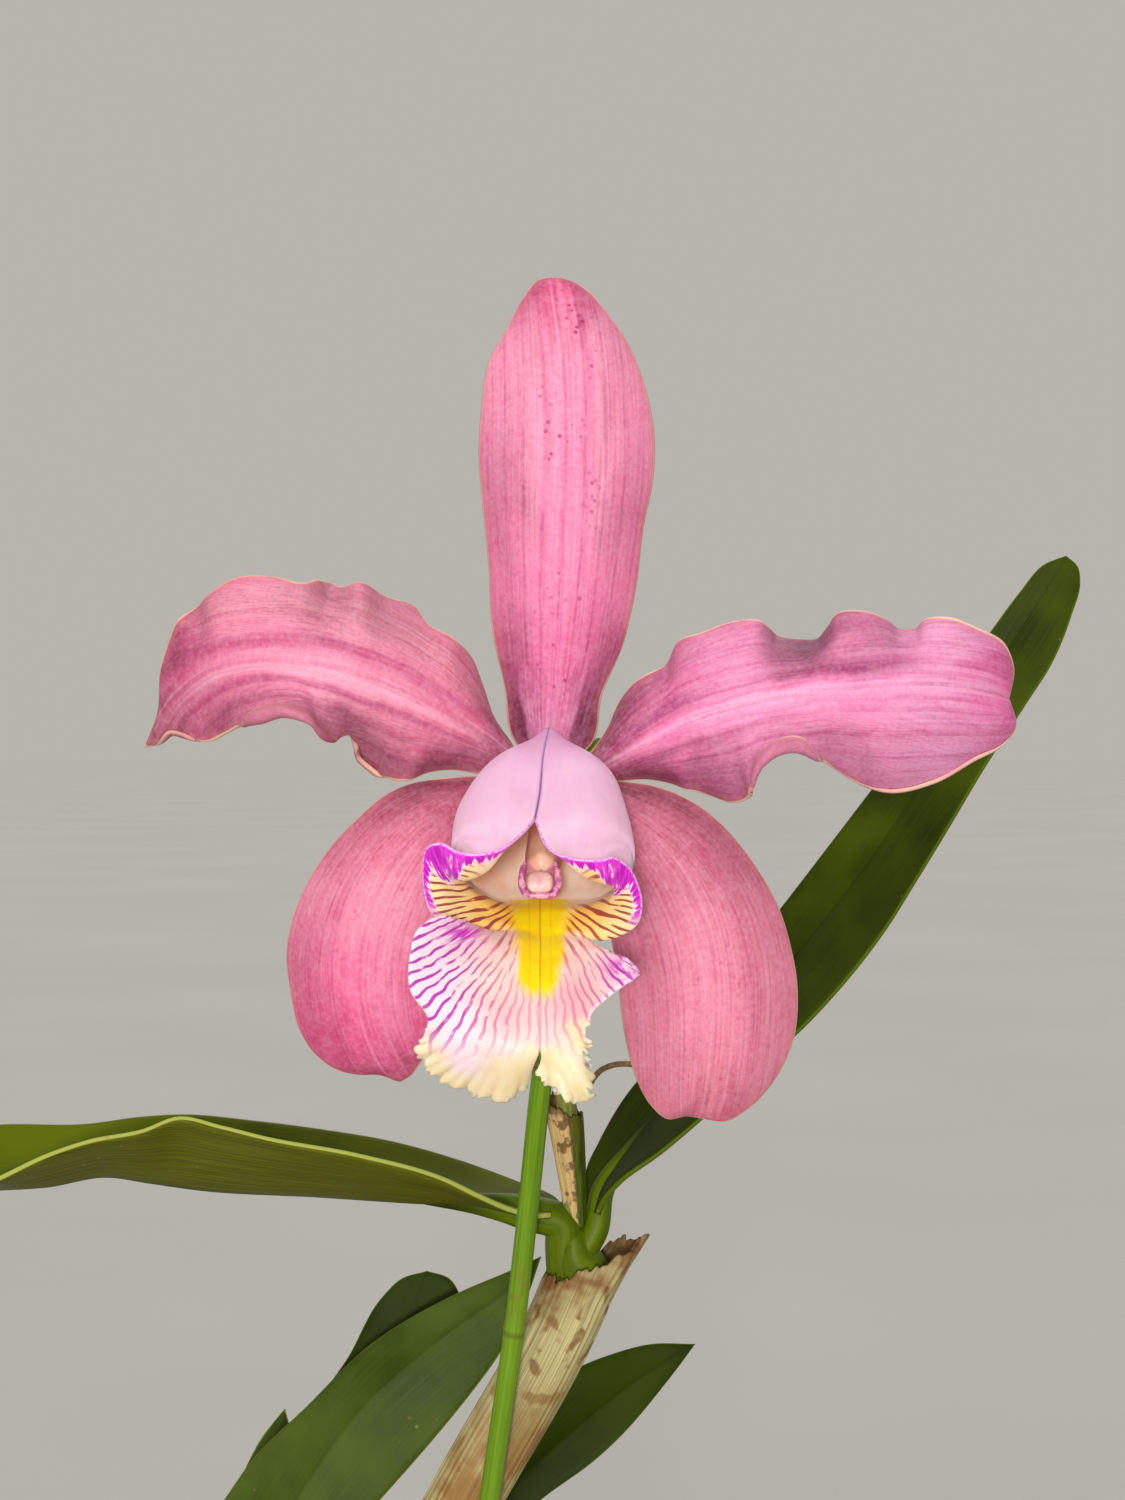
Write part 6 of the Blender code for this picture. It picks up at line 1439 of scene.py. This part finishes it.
def stake():
    p = Paint("green cane", 0.38, 0.3)
    s, run, ca, sa = p.read("s"), p.read("run"), p.read("ca"), p.read("sa")
    fibres = p.noise(p.vector(p.times(ca, 4.0), p.times(sa, 4.0), p.times(run, 0.05)), 1.0, 3.0)
    colour = p.mix(p.band(fibres, 0.25, 0.75), rgb(86, 122, 2), rgb(112, 148, 14))
    worn = p.noise(p.vector(p.times(ca, 1.5), p.times(sa, 1.5), p.times(run, 0.30)), 1.0, 3.0)
    colour = p.mix(p.times(p.band(worn, 0.50, 0.64), p.hump(run, 152.0, 9.0), 0.8), colour, rgb(116, 108, 18))
    colour = p.mix(p.times(p.hump(run, 146.0, 0.8), 0.8), colour, rgb(86, 92, 14))
    colour = p.mix(p.band(run, 241.0, 243.5), colour, rgb(52, 16, 20))
    cane = p.finish(colour, p.bump(fibres, 0.12, 0.0002))
    foot = np.array(STAKE_FOOT)
    first = seen(STAKE_ROUTE[0])
    knots = [foot, foot + (first - foot) * 0.55, *seen(STAKE_ROUTE)]
    path = smooth_path(knots, 160)
    run = run_along(path)
    ring = 1 + 0.10 * np.exp(-(((run - 0.146) / 0.0006) ** 2)) + 0.06 * np.exp(-(((run - 0.060) / 0.0006) ** 2))
    tip = np.sqrt(np.clip((run[-1] - run) / 0.0012, 0.02, 1))
    rod("stake_skin", path, STAKE_RADIUS * ring * tip, 20, cane, ["stake"])


def tie():
    p = Paint("brown wire", 0.5, 0.4)
    grain = p.noise(p.vector(p.times(p.read("run"), 1.4), p.read("ca"), p.read("sa")), 1.0, 2.0)
    wire = p.finish(p.mix(p.band(grain, 0.3, 0.7), rgb(92, 70, 40), rgb(134, 108, 66)), p.bump(grain, 0.3, 0.0001))
    stake_at, stem_at = seen(TIE_ROUND)
    between = math.atan2(stem_at[1] - stake_at[1], stem_at[0] - stake_at[0])
    slack = WIRE_RADIUS + 2 * GAP
    places = []
    for centre, radius, middle in ((stem_at, STEM_RADIUS, between), (stake_at, STAKE_RADIUS, between + math.pi)):
        for share in np.linspace(-0.5, 0.5, 9):
            angle = middle + share * math.pi
            offset = np.array([math.cos(angle), math.sin(angle), 0.0]) * (radius + slack)
            places.append(centre + offset + np.array([0, 0, TIE_PITCH * len(places) / 18]))
    places += list(seen(TIE_TAIL))
    path = smooth_path(places, 220)
    rod("tie_skin", path, np.full(220, WIRE_RADIUS), 10, wire, ["tie"])


# ---- pot, bark and roots


def clay():
    p = Paint("terracotta clay", 0.82, 0.2)
    place = p.place()
    broad = p.noise(place, 14.0, 4.0)
    grain = p.noise(place, 420.0, 4.0, 0.7)
    colour = p.mix(p.band(broad, 0.3, 0.7), rgb(176, 98, 64), rgb(206, 128, 88))
    colour = p.mix(p.band(grain, 0.35, 0.7, 0.0, 0.4), colour, rgb(224, 156, 116))
    lime = p.noise(place, 34.0, 5.0, 0.65)
    height = p.tree.nodes.new("ShaderNodeSeparateXYZ")
    p.put(height, 0, place)
    colour = p.mix(p.times(p.band(lime, 0.54, 0.70), 0.5), colour, rgb(226, 206, 186))
    damp = p.times(p.band(height.outputs[2], 0.020, 0.0), p.band(broad, 0.35, 0.6, 0.4, 1.0))
    colour = p.mix(p.times(damp, 0.55), colour, rgb(120, 70, 48))
    rings = p.noise(p.vector(0.0, 0.0, p.times(height.outputs[2], 900.0)), 1.0, 2.0)
    return p.finish(colour, p.bump(p.add(grain, p.times(rings, 0.5)), 0.4, 0.0003), p.band(lime, 0.4, 0.7, 0.76, 0.92))


def inside_radius(height):
    share = (height - POT_FLOOR) / (POT_HEIGHT - POT_FLOOR)
    return (POT_FOOT_RADIUS - POT_WALL) * (1 - share) + (POT_RIM_RADIUS - POT_WALL) * share


def rounded(profile, corner):
    """The profile with each inner corner rounded by short arcs, corner metres long."""
    points = [np.array(point, float) for point in profile]
    result = [points[0]]
    for before, here, after in zip(points, points[1:], points[2:]):
        size = min(corner, 0.45 * np.linalg.norm(here - before), 0.45 * np.linalg.norm(after - here))
        start = here + (before - here) / np.linalg.norm(before - here) * size
        end = here + (after - here) / np.linalg.norm(after - here) * size
        for share in (0.0, 0.25, 0.5, 0.75, 1.0):
            result.append((1 - share) ** 2 * start + 2 * share * (1 - share) * here + share**2 * end)
    result.append(points[-1])
    return np.array(result)


def pot():
    rim_foot = POT_HEIGHT - POT_RIM_HEIGHT
    body_top = inside_radius(rim_foot) + POT_WALL - POT_RIM_STEP
    profile = rounded([
        (0.0004, POT_FLOOR), (inside_radius(POT_FLOOR) - 0.001, POT_FLOOR),
        (inside_radius(POT_HEIGHT - 0.001), POT_HEIGHT - 0.001), (POT_RIM_RADIUS - POT_WALL + 0.001, POT_HEIGHT),
        (POT_RIM_RADIUS - 0.0008, POT_HEIGHT), (POT_RIM_RADIUS - 0.0002, POT_HEIGHT - 0.002),
        (body_top + POT_RIM_STEP, rim_foot + 0.0004), (body_top + 0.0002, rim_foot),
        (body_top - 0.0008, rim_foot - 0.004), (POT_FOOT_RADIUS, 0.0012), (POT_FOOT_RADIUS - 0.0015, 0.0), (0.0004, 0.0),
    ], 0.0016)
    steps = 144
    turn = np.arange(steps) / steps * 2 * math.pi
    radius = profile[:, 0][:, None] * (1 + 0.0015 * np.sin(3 * turn + 1) * (profile[:, 0][:, None] > 0.03))
    height = np.repeat(profile[:, 1][:, None], steps, 1)
    places = np.stack([radius * np.cos(turn), radius * np.sin(turn), height], -1)
    keep_flat = height < 0.0002
    places[..., 2] += np.where(keep_flat, 0.0, 0.0)
    count = len(profile) * steps
    places = np.concatenate([places.reshape(-1, 3), [[0, 0, POT_FLOOR], [0, 0, 0]]])
    ring = np.arange(steps)
    after = np.roll(ring, -1)
    last = (len(profile) - 1) * steps
    faces = [grid_faces(len(profile), steps, wrap=True, flip=True),
             np.stack([np.full(steps, count), ring, after], -1),
             np.stack([np.full(steps, count + 1), last + after, last + ring], -1)]
    made = fast_mesh("pot_skin", places, faces, {}, clay(), ["pot"])
    for i in range(3):
        angle = math.radians(90 + 120 * i)
        at = (DRAIN_CIRCLE * math.cos(angle), DRAIN_CIRCLE * math.sin(angle), POT_FLOOR / 2)
        bpy.ops.mesh.primitive_cylinder_add(vertices=32, radius=DRAIN_RADIUS, depth=4 * POT_FLOOR, location=at)
        drain = bpy.context.object
        cut = made.modifiers.new("Drain", "BOOLEAN")
        cut.operation = "DIFFERENCE"
        cut.solver = "EXACT"
        cut.object = drain
        bpy.context.view_layer.update()
        mesh = bpy.data.meshes.new_from_object(made.evaluated_get(bpy.context.evaluated_depsgraph_get()))
        made.modifiers.clear()
        made.data = mesh
        bpy.data.objects.remove(drain)


def bark_tissue():
    p = Paint("bark", 0.85, 0.25)
    place = p.place()
    tone = p.read("tone")
    rough = p.noise(place, 260.0, 5.0, 0.65)
    layers = p.noise(p.vector(p.times(p.read("ca"), 4.0), p.times(p.read("sa"), 30.0), p.times(p.read("s"), 30.0)), 1.0, 3.0)
    colour = p.ramp(p.add(p.times(tone, 0.75), p.times(rough, 0.35)),
                    (0.1, rgb(58, 36, 24)), (0.45, rgb(98, 62, 40)), (0.75, rgb(134, 88, 58)), (1.0, rgb(168, 122, 84)))
    colour = p.mix(p.band(layers, 0.45, 0.62, 0.0, 0.45), colour, rgb(70, 40, 26))
    return p.finish(colour, p.bump(p.add(rough, layers), 0.6, 0.0008))


def bark():
    """A bed of bark with loose chips heaped on it, clear of the pot's wall."""
    rng = random.Random(21)
    colour = bark_tissue()
    groups, faces, tones, locals_ = [], [], [], []
    base = 0
    n = 4
    ticks = np.linspace(-1, 1, n + 1)
    cube, quads = [], []
    for axis in range(3):
        for sign in (-1, 1):
            first = len(cube)
            for a in ticks:
                for b in ticks:
                    point = [0.0, 0.0, 0.0]
                    point[axis] = sign
                    point[(axis + 1) % 3] = a
                    point[(axis + 2) % 3] = b
                    cube.append(point)
            for i in range(n):
                for j in range(n):
                    quad = [first + i * (n + 1) + j, first + (i + 1) * (n + 1) + j,
                            first + (i + 1) * (n + 1) + j + 1, first + i * (n + 1) + j + 1]
                    quads.append(quad if sign > 0 else quad[::-1])
    cube = np.array(cube)
    keys = np.round(cube * 1000).astype(int)
    _, keep, back = np.unique(keys, axis=0, return_index=True, return_inverse=True)
    cube = cube[keep]
    quads = np.asarray(back).ravel()[np.array(quads)]
    shell = cube / (np.abs(cube) ** 5).sum(1, keepdims=True) ** 0.2
    for i in range(230):
        layer = i / 230
        size = np.array([rng.uniform(0.0050, 0.0095), rng.uniform(0.0035, 0.0060), rng.uniform(0.0018, 0.0034)])
        if i % 3 == 0:
            size = size * 0.6
        height = BARK_TOP - 0.0045 + 0.0042 * layer + rng.uniform(-0.001, 0.001)
        limit = inside_radius(BARK_TOP - 0.004) - size[0] - 0.0012
        reach = limit * math.sqrt(((i * 0.618) % 1.0) * 0.98 + 0.02)
        if i % 4 == 0:
            reach = limit
        angle = i * math.radians(137.5)
        shape = shell * size
        wobble = ruggedness(shape, 0.004, i + 1)
        shape = shape * (1 + 0.28 * wobble[:, None])
        shape[:, 2] = shape[:, 2] * (1 + 0.2 * np.sin(shape[:, 0] / size[0] * 2.5 + i))
        spin, tip, roll = rng.uniform(0, 6.28), rng.gauss(0, 0.28), rng.gauss(0, 0.28)
        turn = np.array([[math.cos(spin), -math.sin(spin), 0], [math.sin(spin), math.cos(spin), 0], [0, 0, 1]])
        nod = np.array([[math.cos(tip), 0, math.sin(tip)], [0, 1, 0], [-math.sin(tip), 0, math.cos(tip)]])
        lean = np.array([[1, 0, 0], [0, math.cos(roll), -math.sin(roll)], [0, math.sin(roll), math.cos(roll)]])
        local = shape / size
        shape = shape @ (turn @ nod @ lean).T
        shape += np.array([reach * math.cos(angle), reach * math.sin(angle), height])
        groups.append(shape)
        faces.append(quads + base)
        base += len(shape)
        tones.append(np.full(len(shape), rng.random()))
        locals_.append(local)
    steps, bed = 48, []
    for radius, height in ((0.0, BARK_TOP - 0.004), (0.6, BARK_TOP - 0.004), (1.0, BARK_TOP - 0.0045)):
        for j in range(steps):
            angle = 2 * math.pi * j / steps
            reach = radius * (inside_radius(height) - 0.0006)
            bed.append((reach * math.cos(angle), reach * math.sin(angle), height))
    for j in range(steps):
        angle = 2 * math.pi * j / steps
        reach = inside_radius(POT_FLOOR + 0.0005) - 0.003
        bed.append((reach * math.cos(angle), reach * math.sin(angle), POT_FLOOR + 0.0005))
    for j in range(steps):
        bed.append((0.0, 0.0, POT_FLOOR + 0.0005))
    groups.append(np.array(bed))
    faces.append(grid_faces(5, steps, base, wrap=True, flip=False))
    tones.append(np.full(len(bed), 0.1))
    locals_.append(np.zeros((len(bed), 3)))
    local = np.concatenate(locals_)
    attributes = {"tone": np.concatenate(tones), "ca": local[:, 0], "sa": local[:, 2], "s": local[:, 1]}
    fast_mesh("bark_chips", np.concatenate(groups), faces, attributes, colour, ["potting_bark"])


def roots():
    p = Paint("root tissue", 0.7, 0.25)
    s, run, ca, sa = p.read("s"), p.read("run"), p.read("ca"), p.read("sa")
    place = p.place()
    mottle = p.noise(place, 300.0, 4.0)
    skin = p.mix(p.band(mottle, 0.3, 0.7), rgb(176, 168, 140), rgb(206, 200, 178))
    stain = p.noise(place, 90.0, 3.0)
    skin = p.mix(p.band(stain, 0.48, 0.64, 0.0, 0.7), skin, rgb(140, 116, 78))
    velamen = p.finish(skin, p.bump(mottle, 0.4, 0.0003))
    q = Paint("rhizome tissue", 0.6, 0.3)
    place = q.place()
    rings = q.math("COSINE", q.times(q.read("run"), 1.5))
    bark = q.noise(place, 260.0, 4.0)
    skin = q.mix(q.band(bark, 0.3, 0.7), rgb(112, 104, 56), rgb(150, 134, 84))
    skin = q.mix(q.band(rings, 0.7, 1.0, 0.0, 0.7), skin, rgb(92, 66, 36))
    stock = q.finish(skin, q.bump(q.add(bark, q.times(rings, 0.4)), 0.5, 0.0004))
    pieces = []
    for i, route in enumerate(RHIZOME_ROUTES):
        path = smooth_path(np.array(route, float) * MM, 90)
        run_mm = run_along(path) / MM
        scale = 1 + 0.03 * np.cos(run_mm * 1.5)
        ends = np.sqrt(np.clip(np.minimum(run_mm, run_mm[-1] - run_mm) / 2.0, 0.05, 1))
        pieces.append(rod(f"rootstock_{i}", path, (RHIZOME_RADIUS - 0.0001) * scale * ends, 24, stock, []))
    for i, route in enumerate(ROOT_ROUTES):
        path = smooth_path(np.array(route, float) * MM, 70)
        lumps = 1 + 0.08 * ruggedness(path, 0.006, i)
        pieces.append(rod(f"root_{i}", path, (ROOT_RADIUS - 0.00005) * lumps, 16, velamen, []))
    joined("rhizome_skin", pieces, ["rhizome"])


# ---- floor, light and camera


def studio():
    scene = bpy.context.scene
    scene.view_settings.view_transform = "Standard"
    steps = 64
    edge = [(FLOOR_RADIUS * math.cos(i * math.tau / steps), FLOOR_RADIUS * math.sin(i * math.tau / steps), 0)
            for i in range(steps)]
    mesh = bpy.data.meshes.new("floor")
    mesh.from_pydata(edge, [], [list(range(steps))])
    p = Paint("floor", 0.95, 0.0)
    wash = p.noise(p.place(), 2.0, 3.0)
    mesh.materials.append(p.finish(p.mix(p.band(wash, 0.3, 0.7), rgb(193, 192, 188), rgb(196, 195, 191)), level=False))
    floor = bpy.data.objects.new("floor", mesh)
    scene.collection.objects.link(floor)

    world = bpy.data.worlds.new("studio")
    world.use_nodes = True
    background = world.node_tree.nodes["Background"]
    background.inputs["Color"].default_value = (*rgb(183, 180, 173), 1.0)
    scene.world = world
    for name, toward, strength, spread in (
        ("key", (0.32, 0.86, -0.60), 1.0, 24),
        ("front", (0.05, 1.0, -0.05), 2.7, 8),
        ("back", (-0.2, -1.0, -0.9), 0.8, 60),
    ):
        light = bpy.data.lights.new(name, "SUN")
        light.energy = strength
        light.angle = math.radians(spread)
        lamp = bpy.data.objects.new(name, light)
        lamp.rotation_euler = Vector(toward).to_track_quat("-Z", "Y").to_euler()
        scene.collection.objects.link(lamp)
    camera = bpy.data.cameras.new("camera")
    camera.sensor_width = SENSOR_MM
    camera.lens = SENSOR_MM * VIEW_DISTANCE / (VIEW_HEIGHT_PX * PIXEL)
    camera.clip_start = 0.01
    camera.clip_end = 2 * FLOOR_RADIUS
    eye = bpy.data.objects.new("camera", camera)
    eye.location = (EYE_X, FLOWER_Y - VIEW_DISTANCE, EYE_Z)
    eye.rotation_euler = (math.radians(90), 0, 0)
    scene.collection.objects.link(eye)
    scene.camera = eye


studio()
flower_blades()
lip()
column()
flower_stem()
spathe()
leaves()
pseudobulbs()
stake()
tie()
pot()
bark()
roots()
